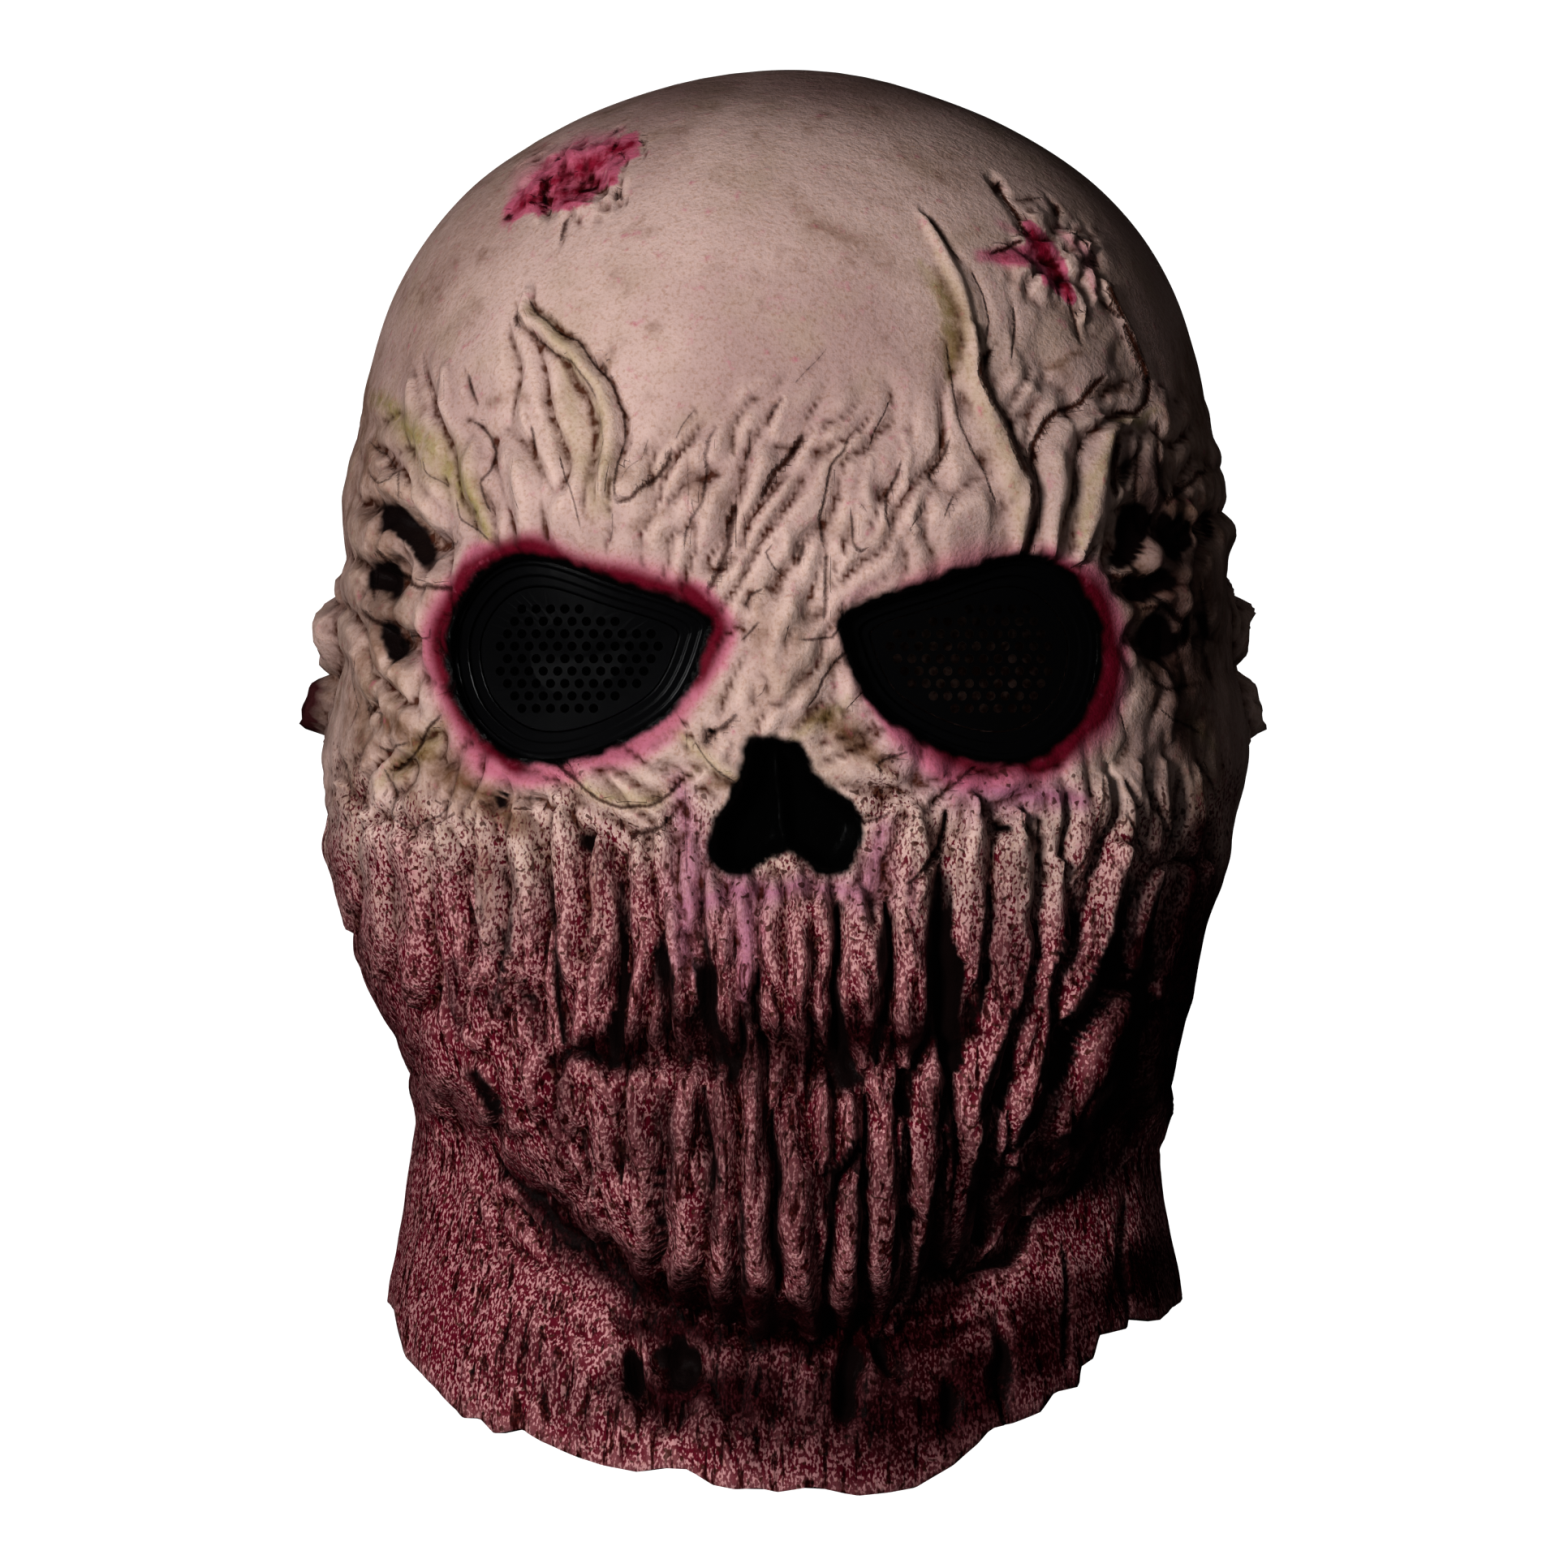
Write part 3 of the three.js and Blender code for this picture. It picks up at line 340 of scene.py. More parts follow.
# Cords of dried flesh down the cheeks and lips: upper row, then lower row
STRANDS = [
    # places, width, size
    ([(-97, 158), (-96, 190)], 5.6, 0.6),
    ([(-90.5, 164), (-89, 200)], 6.4, 0.7),
    ([(-83, 166), (-80, 206)], 6.8, 0.8),
    ([(-72.6, 167), (-73.6, 182), (-71, 209)], 6.6, 0.9),
    ([(-65, 164), (-64.6, 184), (-66, 202)], 6, 0.9),
    ([(-58, 162), (-56.8, 182), (-60.6, 211)], 6.2, 1),
    ([(-49.6, 164), (-47.6, 178), (-45.2, 198), (-44.6, 217)], 8.4, 1),
    ([(-40.4, 170), (-40.2, 194), (-41.4, 217)], 7.6, 1),
    ([(-32, 170), (-31.6, 188), (-32.6, 215)], 5.6, 0.8),
    ([(-27.6, 166), (-25.4, 184), (-22.6, 200), (-22, 210)], 5.8, 0.8),
    ([(-21, 170), (-21, 190)], 5, 0.6),
    ([(-16.6, 178), (-13.6, 190), (-12.4, 202), (-11.8, 216)], 6.4, 0.9),
    ([(-8.4, 178), (-8, 188), (-7, 197), (-8.6, 206)], 5.8, 0.8),
    ([(-2.6, 178), (-2.4, 196), (-2, 214)], 5.2, 0.7),
    ([(2.6, 176), (3, 196), (3.4, 219)], 6, 0.9),
    ([(8.2, 180), (8.2, 196), (8.8, 214)], 5, 0.8),
    ([(15.6, 182), (15.4, 200), (17.2, 220)], 8.4, 1.1),
    ([(28.6, 164), (28, 176), (27, 196), (26.2, 220)], 10, 1.1),
    ([(41, 162), (41, 180), (41.4, 200)], 9.4, 1),
    ([(41, 196), (40, 217)], 6.8, 0.4),
    ([(50.6, 164), (50.2, 184), (49.6, 198), (46.6, 211), (41.4, 222), (39.6, 244)], 9, 1.1),
    ([(59.6, 176), (59.4, 190), (57.4, 204)], 6.8, 1),
    ([(57.8, 200), (55, 213), (52.6, 226), (49, 240)], 8.6, 1),
    ([(71.6, 172), (70.6, 184), (67, 197), (61.6, 209)], 9, 1.1),
    ([(80.4, 178), (77.6, 191), (75.4, 200)], 5.4, 0.9),
    ([(74.6, 203), (70.6, 215), (65.8, 226), (59.4, 236), (51, 244)], 10.6, 1.2),
    ([(88.6, 176), (85.6, 192), (81.6, 206)], 4.8, 0.8),
    ([(83, 210), (80.2, 222), (76, 240)], 5.4, 0.7),
    ([(93, 176), (90, 192), (87, 206)], 4.4, 0.6),
    ([(-79, 208), (-76, 236)], 8, 0.3),
    ([(-70, 210), (-61, 232), (-50, 246)], 9, 0.4),
    ([(-60, 208), (-55, 226), (-46, 246), (-40, 258)], 7.4, 0.6),
    ([(-48, 224), (-44, 240), (-38, 256)], 5.6, 0.6),
    ([(-40.6, 219), (-39.6, 236), (-35, 252), (-28, 273)], 7.4, 0.9),
    ([(-32.4, 218), (-31.4, 240), (-29.6, 274)], 5.8, 0.8),
    ([(-22, 214), (-21, 244), (-22, 277)], 6.6, 0.9),
    ([(-13.6, 220), (-12.2, 246), (-13.8, 280)], 5.8, 0.8),
    ([(-7.4, 213), (-6.8, 244), (-5, 281)], 6.8, 1),
    ([(1, 226), (2, 248), (5, 281)], 7.4, 0.9),
    ([(8, 220), (7.6, 244)], 6.2, 1),
    ([(13.6, 226), (12, 243)], 5.8, 0.9),
    ([(14.6, 242), (13, 256), (12.6, 281)], 6.6, 1),
    ([(21.4, 212), (20.8, 244), (20.2, 280)], 7.6, 1),
    ([(24.8, 228), (24.6, 244)], 3, 0.6),
    ([(32.4, 214), (30.6, 236), (29.8, 252)], 7.2, 1),
    ([(30.8, 250), (27.6, 260), (23, 279)], 6.4, 0.9),
    ([(35.4, 228), (34.8, 264)], 3.2, 0.6),
    ([(38.8, 238), (38.2, 252), (35.4, 265)], 5.4, 0.8),
    ([(46.6, 231), (45.2, 244)], 5.6, 0.7),
    ([(50.4, 242), (46.2, 252), (41.4, 263)], 5, 0.8),
    ([(69, 231), (61, 242), (52.4, 254)], 8.8, 0.9),
]

# Grooves between the cords, and splits in them
GROOVES = [
    # places, width, size
    ([(-35.4, 178), (-36.2, 200), (-37, 218)], 3.4, 1.2),
    ([(34.4, 175), (34.2, 196), (35.4, 221)], 3.6, 1.3),
    ([(-52.4, 173), (-50.4, 203), (-49.8, 216)], 2.6, 1),
    ([(-50, 215.6), (-45.4, 219.6), (-37.4, 218.6)], 3.2, 1.1),
    ([(-60.6, 170), (-61, 198)], 2.2, 0.8),
    ([(-68, 166), (-67.8, 193)], 2.2, 0.8),
    ([(-76.6, 166), (-76.8, 180)], 2.2, 0.7),
    ([(-17, 188), (-16.8, 213)], 2.8, 0.9),
    ([(-26, 196), (-26.2, 216)], 3, 0.8),
    ([(-5.2, 196), (-6.6, 216)], 2.2, 0.8),
    ([(11.4, 184), (11.4, 216)], 2.4, 1.1),
    ([(22, 184), (22.2, 208), (20.2, 219)], 2.6, 1.1),
    ([(44.8, 180), (45, 198)], 2.4, 0.9),
    ([(54.8, 178), (55.4, 190), (53.6, 204)], 2.4, 1),
    ([(64.8, 182), (62.6, 192), (60.4, 200)], 2.8, 1.1),
    ([(76.4, 180), (72.6, 192), (69, 200), (66, 208), (61, 218), (55.6, 230), (50, 240)], 3.4, 1.2),
    ([(83.6, 176), (82, 186), (79.6, 200), (77, 210), (72.4, 224), (66, 234), (56, 242),
      (51, 244)], 3.6, 1.1),
    ([(59.6, 205), (58.8, 214), (56.6, 224)], 3, 1),
    ([(51.4, 206), (48.6, 214), (45.4, 226), (44.4, 240), (42.6, 252), (40.6, 264)], 2.8, 1.1),
    ([(-64, 234), (-68.2, 223)], 4.4, 1),
    ([(-27.4, 234), (-27.4, 264)], 3, 1.2),
    ([(-17.6, 224), (-16.8, 236), (-14.8, 248)], 2.4, 0.9),
    ([(-10.4, 248), (-10, 262), (-9.2, 274)], 2, 0.9),
    ([(-2.8, 230), (-2.2, 250), (-1.4, 270)], 2.2, 1),
    ([(16, 236), (11.6, 245), (10.4, 256), (9, 272)], 2.6, 1.1),
    ([(17, 226), (17.4, 248), (17.2, 270)], 2.2, 0.9),
    ([(26.8, 234), (26.6, 250), (24.4, 262), (23.2, 270)], 2.6, 1.1),
    ([(33.4, 226), (33.8, 250)], 1.8, 0.7),
    ([(36.8, 222), (36.8, 242)], 2.2, 1),
    ([(-44.6, 232), (-42.8, 242), (-42, 252)], 2.4, 0.7),
    ([(-36.4, 232), (-35.4, 246)], 1.8, 0.6),
    ([(62.6, 159), (61.2, 169), (60.8, 180)], 2.2, 1),
    ([(71.8, 154), (71.4, 165), (66, 178)], 2.6, 1.2),
    ([(74, 157), (77, 167), (79.4, 176)], 1.8, 0.9),
    ([(79, 152), (81.6, 163), (84, 170)], 1.8, 0.7),
    ([(86.8, 154), (87.2, 164), (86.2, 174)], 2.2, 1.1),
    ([(93.4, 152), (95, 163), (93.8, 178)], 2.2, 1),
    ([(83.6, 176), (92, 173.4)], 2.8, 1),
    ([(35.8, 163), (35, 171), (28.6, 178)], 2.2, 0.9),
    ([(52, 161), (52.4, 168)], 1.8, 0.7),
    ([(55.6, 164), (56.6, 172), (55, 180)], 2, 0.9),
    ([(45.4, 165), (46, 170)], 2, 0.8),
    ([(43.4, 169), (49.6, 168.6)], 2.4, 1),
    ([(57.4, 253), (50, 262), (38, 268)], 5, 0.8),
    ([(48.6, 282), (49.4, 300)], 3, 0.8),
    ([(63, 262), (62, 288)], 2.6, 0.7),
    ([(75, 250), (76, 274)], 3, 0.7),
    ([(-59.6, 244.6), (-52, 251.6), (-46, 260), (-39, 267)], 3.6, 0.7),
]

# Fine creases of the brow, temples, nose bridge and cheeks
CREASES = [
    # places, width, size
    ([(-56.6, 49.4), (-54.4, 54), (-51, 57), (-46, 58.8), (-42.4, 63.8), (-38, 70), (-35.4, 76),
      (-35.4, 82), (-37, 88), (-38, 95)], 0.8, 0.9),
    ([(-58.8, 51.5), (-59, 55), (-57, 56.5)], 1.8, 1),
    ([(-57.4, 56), (-55, 60), (-51, 62.4), (-47, 64.4), (-44, 68.5), (-41, 74)], 0.9, 0.8),
    ([(-43, 62.4), (-39.6, 62.2), (-38, 60.8)], 0.8, 0.8),
    ([(-40.6, 62.6), (-39.6, 66), (-37.6, 66.6)], 0.8, 0.7),
    ([(-38.4, 95.4), (-34, 94.4), (-31, 92), (-28, 89.6), (-25.6, 86.4), (-24.6, 82)], 1.5, 1),
    ([(-38, 96), (-38.2, 102), (-39.6, 106.5)], 0.7, 0.6),
    ([(-50, 83), (-48.6, 90), (-46.4, 96), (-45, 101.5)], 0.7, 0.8),
    ([(-41, 74), (-40.4, 82), (-41.6, 89), (-41.6, 95)], 0.6, 0.6),
    ([(-30, 80), (-31.4, 85.4), (-34.6, 88), (-36.6, 91)], 0.6, 0.6),
    ([(-19.4, 74.4), (-22.6, 78), (-24.4, 82)], 0.7, 0.7),
    ([(-15.4, 77.6), (-17.2, 81), (-17.8, 85.4), (-17, 89), (-18.4, 95), (-20.6, 98.6), (-22, 102),
      (-22.8, 107)], 1.2, 0.8),
    ([(-21.6, 85), (-21.2, 92), (-21.6, 98)], 0.6, 0.5),
    ([(-7.4, 79), (-7.6, 83), (-9.4, 87.4)], 0.8, 0.8),
    ([(-0.6, 71.6), (-2.4, 74.4), (-4.2, 78)], 1.1, 0.8),
    ([(4.8, 79.4), (1.2, 84.4), (-2.6, 89), (-5.8, 95.4)], 1.7, 1.1),
    ([(10, 60), (5.4, 64.6), (1, 69.6)], 0.6, 0.6),
    ([(-10.2, 94.4), (-12, 99.6), (-12.6, 104.6), (-14.4, 110), (-17.6, 116.4)], 1.9, 1),
    ([(-10, 95), (-8.6, 100), (-9, 107.6)], 0.6, 0.6),
    ([(14.2, 80), (13.4, 84.4), (10.6, 87.4), (9.2, 92), (7.6, 98), (8.6, 105.6)], 1.1, 0.9),
    ([(9.2, 105), (9.2, 113), (8.8, 123)], 1.2, 0.9),
    ([(14.6, 95.6), (15, 101), (15.2, 105), (17, 107), (19.6, 105)], 0.8, 0.9),
    ([(16.2, 97.4), (17.4, 95.8), (18.6, 99)], 0.6, 0.7),
    ([(24, 71), (22, 75.4), (19.6, 79.4), (17.8, 84.4)], 0.8, 0.7),
    ([(26.4, 84), (25, 89), (22.6, 93.4), (22.2, 98), (23.6, 102)], 1, 0.9),
    ([(37, 79), (34.6, 85), (32, 89.4), (33.6, 92.6)], 1.1, 0.9),
    ([(31, 97), (28.6, 100), (27.6, 101.8), (30, 103)], 0.7, 0.7),
    ([(38.4, 93), (36.4, 97), (35.2, 100)], 1.1, 0.8),
    ([(35.6, 60), (36.6, 66), (37.4, 71), (38.6, 77), (41.6, 83), (45, 89), (47.4, 97)], 0.9, 0.8),
    ([(-1.8, 103.4), (-4.2, 106.4), (-2.4, 109.6), (0.6, 111.6)], 0.8, 0.8),
    ([(4.4, 102.6), (3.6, 106), (2.4, 110)], 1.1, 0.9),
    ([(-3.8, 113.6), (-7.6, 115.8), (-8.6, 118.4), (-7, 120.4)], 0.9, 0.9),
    ([(-4.6, 121.6), (-7.4, 124.6), (-10.6, 126.8)], 0.8, 0.9),
    ([(2.6, 126), (7, 126.4), (10.8, 125.6), (13, 122.4), (12.6, 117)], 0.9, 0.9),
    ([(1.6, 121.4), (1, 124.6), (0.2, 127.6)], 0.6, 0.7),
    ([(-7.4, 139), (-5, 137), (-3.4, 132.6)], 0.6, 0.6),
    ([(15.6, 126.6), (11.2, 131), (8.2, 135), (6.4, 139), (4, 142)], 0.9, 0.9),
    ([(20.6, 134.6), (16.4, 138.6), (12.6, 142)], 0.8, 0.7),
    ([(-9.6, 141.6), (-13, 145.2), (-15.6, 146.4), (-18.8, 149.4)], 1.9, 0.9),
    ([(-21, 147.6), (-17, 152.6), (-13, 156.4), (-9.6, 158.6)], 0.8, 0.8),
    ([(-51.6, 152.6), (-47.4, 156.4), (-44, 159.4), (-41, 161.6), (-36, 163.2), (-30, 162.4),
      (-26, 160.2), (-23, 157), (-20.4, 155.4)], 1.1, 1),
    ([(-24.4, 140.6), (-21.8, 146), (-22.4, 152.6)], 0.6, 0.6),
    ([(28.6, 150), (23.6, 151.4), (20.4, 153), (22.4, 156.6)], 1, 0.9),
    ([(43.4, 153.6), (38.6, 157.6), (34.6, 160.4), (30.6, 162.4)], 1.1, 0.9),
    ([(9.6, 160.4), (13.6, 162.6), (17.4, 165.4), (25, 164.4)], 1.1, 0.9),
    ([(-24.2, 163.4), (-27.6, 167), (-31.6, 168.8), (-34.6, 167.6)], 1.4, 1),
    ([(-22.6, 157), (-22.2, 166), (-21.4, 178)], 0.7, 0.7),
    ([(-18.8, 178), (-18.2, 186), (-17.8, 192)], 0.9, 0.8),
    ([(35, 162.4), (35.2, 168), (33, 173), (29, 177.4), (25.6, 181)], 1, 1),
    ([(52.6, 160.4), (52.4, 165.4), (55.2, 169.6), (56.2, 174), (55.6, 180)], 0.9, 0.9),
    ([(61.8, 159.4), (62, 165), (60.8, 171.4)], 1, 0.9),
    ([(70.8, 154.4), (71.2, 160), (70.6, 166), (68.6, 171.4), (65.8, 176), (62.6, 180.6)], 1.3, 1),
    ([(74, 156), (75.2, 162), (77.4, 167.6), (79.2, 172.4), (78.4, 178)], 0.9, 0.9),
    ([(79.4, 151.6), (80.4, 158), (82.6, 165)], 0.9, 0.8),
    ([(87.2, 154.4), (86.4, 162), (86.2, 168.4), (84, 176)], 1.4, 0.9),
    ([(91, 151.6), (94.2, 157.4), (96.4, 163)], 1.2, 0.9),
    ([(-80, 62), (-79.4, 68), (-78.4, 73), (-75.6, 72.4), (-76, 65)], 0.6, 0.5),
    ([(-70.6, 65.6), (-69.6, 70), (-68.4, 73.6)], 0.9, 0.9),
    ([(-70.6, 76.8), (-67.4, 78.2), (-64.8, 81), (-63.6, 84.6), (-65, 88.2), (-67.6, 91), (-66.4, 95),
      (-64.8, 98.6)], 0.8, 0.9),
    ([(-56.2, 76.4), (-55.6, 81), (-55.4, 85.6)], 0.9, 0.9),
    ([(-53.8, 73.4), (-51.2, 72.2)], 0.9, 0.8),
    ([(-60.4, 84), (-60.8, 91), (-58.4, 98)], 0.5, 0.6),
    ([(-93.4, 81.6), (-88.4, 84), (-85.8, 88), (-85.8, 96)], 0.8, 0.8),
    ([(-93, 88), (-90.4, 90.4), (-87.6, 89.4), (-85.6, 86.6)], 0.9, 0.8),
    ([(-80.6, 84), (-79.6, 88.6), (-75.4, 90.4), (-73.6, 92.4)], 0.7, 0.7),
    ([(-73, 93.6), (-72.2, 99), (-68.6, 102), (-64.6, 104.6)], 0.7, 0.8),
    ([(-72.2, 102.6), (-74.4, 106.4)], 1, 0.8),
    ([(-91.6, 104.6), (-89.4, 108), (-85.6, 111), (-81.4, 113.6), (-77.6, 114.6),
      (-72.4, 114.4)], 1.2, 1),
    ([(-92, 107.6), (-91, 113), (-90.4, 118)], 1.3, 0.9),
    ([(-94.6, 118), (-91.6, 121), (-87, 122.6), (-84.6, 125), (-84, 129)], 1.4, 1),
    ([(-85, 124.4), (-81.4, 125.2), (-78.4, 124.6), (-78.2, 121.4)], 0.8, 0.8),
    ([(-78.6, 126.6), (-75.4, 129.6)], 0.9, 0.7),
    ([(-79, 138.4), (-74.4, 137.4), (-69.8, 139.4)], 0.6, 0.6),
    ([(-75.6, 141.6), (-79, 145.2), (-81, 149.4), (-84, 153.4), (-87.6, 155.6)], 0.9, 1),
    ([(-94, 143), (-92, 140.4), (-89.4, 142.2), (-90, 146)], 0.9, 0.7),
    ([(-91.6, 148), (-87, 150.2), (-82.6, 148.2)], 1, 0.8),
    ([(-94.6, 127.6), (-96, 134), (-94.6, 140), (-97, 147)], 0.7, 0.6),
    ([(-89.6, 153), (-86, 159.4), (-87.4, 165), (-82.6, 168), (-77, 165.4), (-73, 160.6)], 0.9, 0.8),
    ([(-98, 150), (-96.4, 158), (-97.6, 168)], 1, 0.7),
    ([(44.6, 40.8), (47.4, 38.6), (51, 37.2), (54.4, 37)], 0.9, 1.1),
    ([(44.4, 23.2), (47.6, 24.8), (49.4, 28), (51.8, 31.4), (52.6, 34), (55.2, 36.4)], 1.2, 1.1),
    ([(50, 27.4), (52.6, 27.8), (55.6, 28.6), (58.6, 28)], 0.7, 0.8),
    ([(58.6, 27.6), (60.4, 30), (60.8, 33.6)], 1.9, 1.1),
    ([(67.4, 39.8), (69.2, 41.8), (66, 42), (64.6, 42.2)], 1.4, 1),
    ([(61.4, 33.6), (64.6, 35.4), (67.6, 38.6), (69.4, 41.6), (70.4, 45)], 0.9, 0.9),
    ([(62.6, 48.4), (63.4, 52.6), (64.4, 56.4), (65.8, 61.4)], 0.9, 1),
    ([(66.6, 50), (67.4, 52.6), (66, 54.8)], 0.8, 0.9),
    ([(69.6, 49.4), (71.6, 52.4), (74.8, 55.4)], 1, 1),
    ([(71.6, 45.4), (73.4, 51), (76.4, 58.4), (79.4, 65), (80.8, 69.4), (80, 73), (76.6, 75.6),
      (71.6, 76.6)], 1.6, 1.1),
    ([(72.4, 66.6), (68, 69.4), (65.4, 72.6), (61, 74.6), (57.6, 77.6), (55.4, 82), (54.4, 88),
      (55.2, 94), (55, 100), (53.4, 108.6)], 1.5, 1.1),
    ([(66, 79.6), (64.2, 83.6), (63.6, 88), (63.6, 94), (61.6, 100)], 1.5, 0.9),
    ([(74.2, 81), (73, 87), (73.4, 95)], 2, 1.1),
    ([(78.6, 83), (78, 90), (77.2, 98)], 1.4, 1),
    ([(83, 75.6), (82.6, 84), (83.2, 91.4), (85, 95), (89.6, 91.4), (94, 87)], 1.4, 1),
    ([(46.6, 59.4), (44.4, 62.4), (43.8, 66.4), (46.2, 72.4), (49.4, 78.6), (52.4, 86),
      (54.6, 91)], 1.6, 1.1),
    ([(50.4, 50), (51, 56), (50.4, 64)], 0.9, 0.9),
    ([(40.4, 43), (43.6, 49), (45.2, 55), (44.4, 60.4)], 0.8, 0.8),
    ([(31, 31.6), (35.4, 37.4), (39.6, 42.6)], 0.7, 0.8),
    ([(70.6, 103.6), (67, 107.6), (62, 109.4)], 0.7, 0.8),
    ([(86.6, 99.6), (87, 105), (89.4, 110.4)], 1.2, 0.8),
    ([(70.6, 110.4), (74, 112.6), (79, 112.4), (85.6, 112.6)], 2, 1.1),
    ([(78, 119), (84, 118), (89, 121), (88.6, 129)], 1.6, 1),
    ([(79.6, 134), (84.6, 137), (91, 135.4)], 1.4, 0.9),
    ([(82.4, 141), (88, 144.4), (93.6, 147.6)], 1, 0.8),
    ([(92, 112), (93.4, 120), (92.4, 128), (95.6, 136)], 1.6, 0.9),
    ([(74.4, 141), (76, 147), (73, 152.6)], 0.9, 0.7),
    ([(-63, 32.6), (-59.4, 31.4)], 1.1, 1.1),
    ([(-38.6, 13.4), (-35.6, 12.2)], 1.4, 1.1),
    ([(-51.4, 19.6), (-49, 17.4)], 1, 1),
    ([(-46.8, 31), (-48.4, 33.4), (-49, 35.6), (-50, 38.6)], 0.9, 1),
    ([(-38.4, 25.6), (-36.8, 26.8), (-35.2, 28)], 2.2, 1.2),
    ([(-36.4, 15), (-37.4, 17), (-38.6, 18.6)], 0.8, 1),
    ([(-38, 18.8), (-36, 17.8), (-34.6, 19.4)], 0.8, 0.9),
    ([(-33.2, 15.4), (-31.4, 15.4), (-31, 17.2)], 1.1, 0.9),
    ([(-54.6, 22.6), (-52.4, 24.6), (-53.6, 27.6), (-52.4, 31.4)], 1.5, 1.1),
    ([(-57.6, 29), (-54, 29.2)], 0.9, 1),
    ([(-49.8, 21.4), (-50.4, 23.4)], 0.9, 0.9),
    ([(-47.6, 21), (-47.2, 23.4)], 1.3, 1),
    ([(-46.4, 27.6), (-44.6, 25.6), (-40.4, 25.6)], 0.9, 0.9),
    ([(-12, 290), (-13, 309)], 1.4, 0.6),
    ([(-60, 282), (-58, 299)], 1.4, 0.5),
]

# Low rolls of skin between the creases
FOLDS = [
    # places, width, size
    ([(7.6, 78), (3.4, 86), (-0.4, 93)], 5.7, 0.8),
    ([(0, 72), (-5, 84), (-8, 96)], 6, 0.7),
    ([(-11, 84), (-16, 96), (-19.6, 106)], 6.2, 0.8),
    ([(-21.6, 84), (-27, 96)], 5.7, 0.7),
    ([(12.6, 88), (12, 108)], 5.7, 0.7),
    ([(19, 84), (18.6, 99)], 5.7, 0.7),
    ([(26.6, 80), (26.6, 93)], 6, 0.7),
    ([(26, 98.6), (28.6, 101.4)], 5.7, 0.8),
    ([(-10.6, 104), (-10, 118)], 5.5, 0.7),
    ([(0.6, 101), (1, 109)], 5.7, 0.7),
    ([(-51, 155), (-40, 162.6), (-29.6, 163.4), (-19, 156.6)], 6.5, 1.3),
    ([(-23.6, 147.6), (-15, 153), (-9.6, 158)], 3.9, 1),
    ([(-12, 148), (-18.6, 156)], 3.9, 0.9),
    ([(-44, 153), (-30, 152.6), (-20, 144.6)], 5.7, 0.7),
    ([(18.6, 139), (25.6, 149.6), (36, 157)], 5.7, 0.8),
    ([(14.6, 152), (27, 158)], 5.7, 0.8),
    ([(31, 162), (30.4, 174)], 8.6, 1.3),
    ([(24.6, 160), (22, 172)], 6.5, 0.8),
    ([(40.6, 162), (40, 174)], 7.8, 0.7),
    ([(59, 160), (58.4, 177)], 8.3, 1.2),
    ([(69.6, 156), (66.6, 168), (62.8, 180)], 8.3, 1.3),
    ([(73.4, 161), (73, 172)], 6, 0.8),
    ([(77, 153), (78.6, 165)], 6.2, 1.1),
    ([(83, 153), (84, 168)], 6.5, 1.1),
    ([(90, 154), (90.4, 172)], 6.5, 1),
    ([(-82, 68), (-83, 82)], 6.5, 0.9),
    ([(-74.6, 66), (-76, 84)], 6.5, 0.9),
    ([(-90, 86), (-86, 95)], 6.5, 0.9),
    ([(-68.6, 82), (-69.6, 93), (-65, 102)], 7, 0.9),
    ([(-87.6, 106), (-84, 120), (-86, 134)], 6.5, 1),
    ([(-78, 112), (-79, 126), (-77, 138)], 6.5, 0.9),
    ([(-94.6, 128), (-91, 140), (-92, 154)], 6.5, 0.9),
    ([(-83, 140), (-81, 150)], 6.2, 0.8),
    ([(-62.6, 154), (-54, 159), (-48, 163)], 6.5, 0.8),
    ([(79, 99), (82, 112), (80, 126)], 7, 0.9),
    ([(90, 92), (88.6, 108), (91, 124)], 7, 0.9),
    ([(84.6, 132), (84.6, 148)], 6.5, 0.9),
    ([(77, 68), (75, 72)], 5.7, 0.6),
    ([(84, 70), (82.6, 86)], 6.5, 0.8),
    ([(61.6, 35), (64.6, 37.4), (67.4, 40)], 5, 1.3),
    ([(66.4, 43), (68, 46.4), (68.4, 50)], 5.4, 1.3),
    ([(52.6, 33.6), (56, 32.4), (59.4, 33)], 4.4, 1),
    ([(65.2, 49.6), (66.2, 52), (65.4, 56)], 3.8, 1.1),
    ([(49, 42), (55.6, 45), (60.6, 50)], 6, 0.7),
    ([(-57.4, 25.6), (-56.6, 30)], 5, 0.9),
    ([(-48.6, 18.6), (-43, 17.6), (-38.6, 17)], 4.6, 0.9),
    ([(-50.6, 32), (-45, 29.6), (-40, 27.6)], 4, 0.8),
    ([(-27, 279), (-26.6, 299)], 6, 1.2),
]

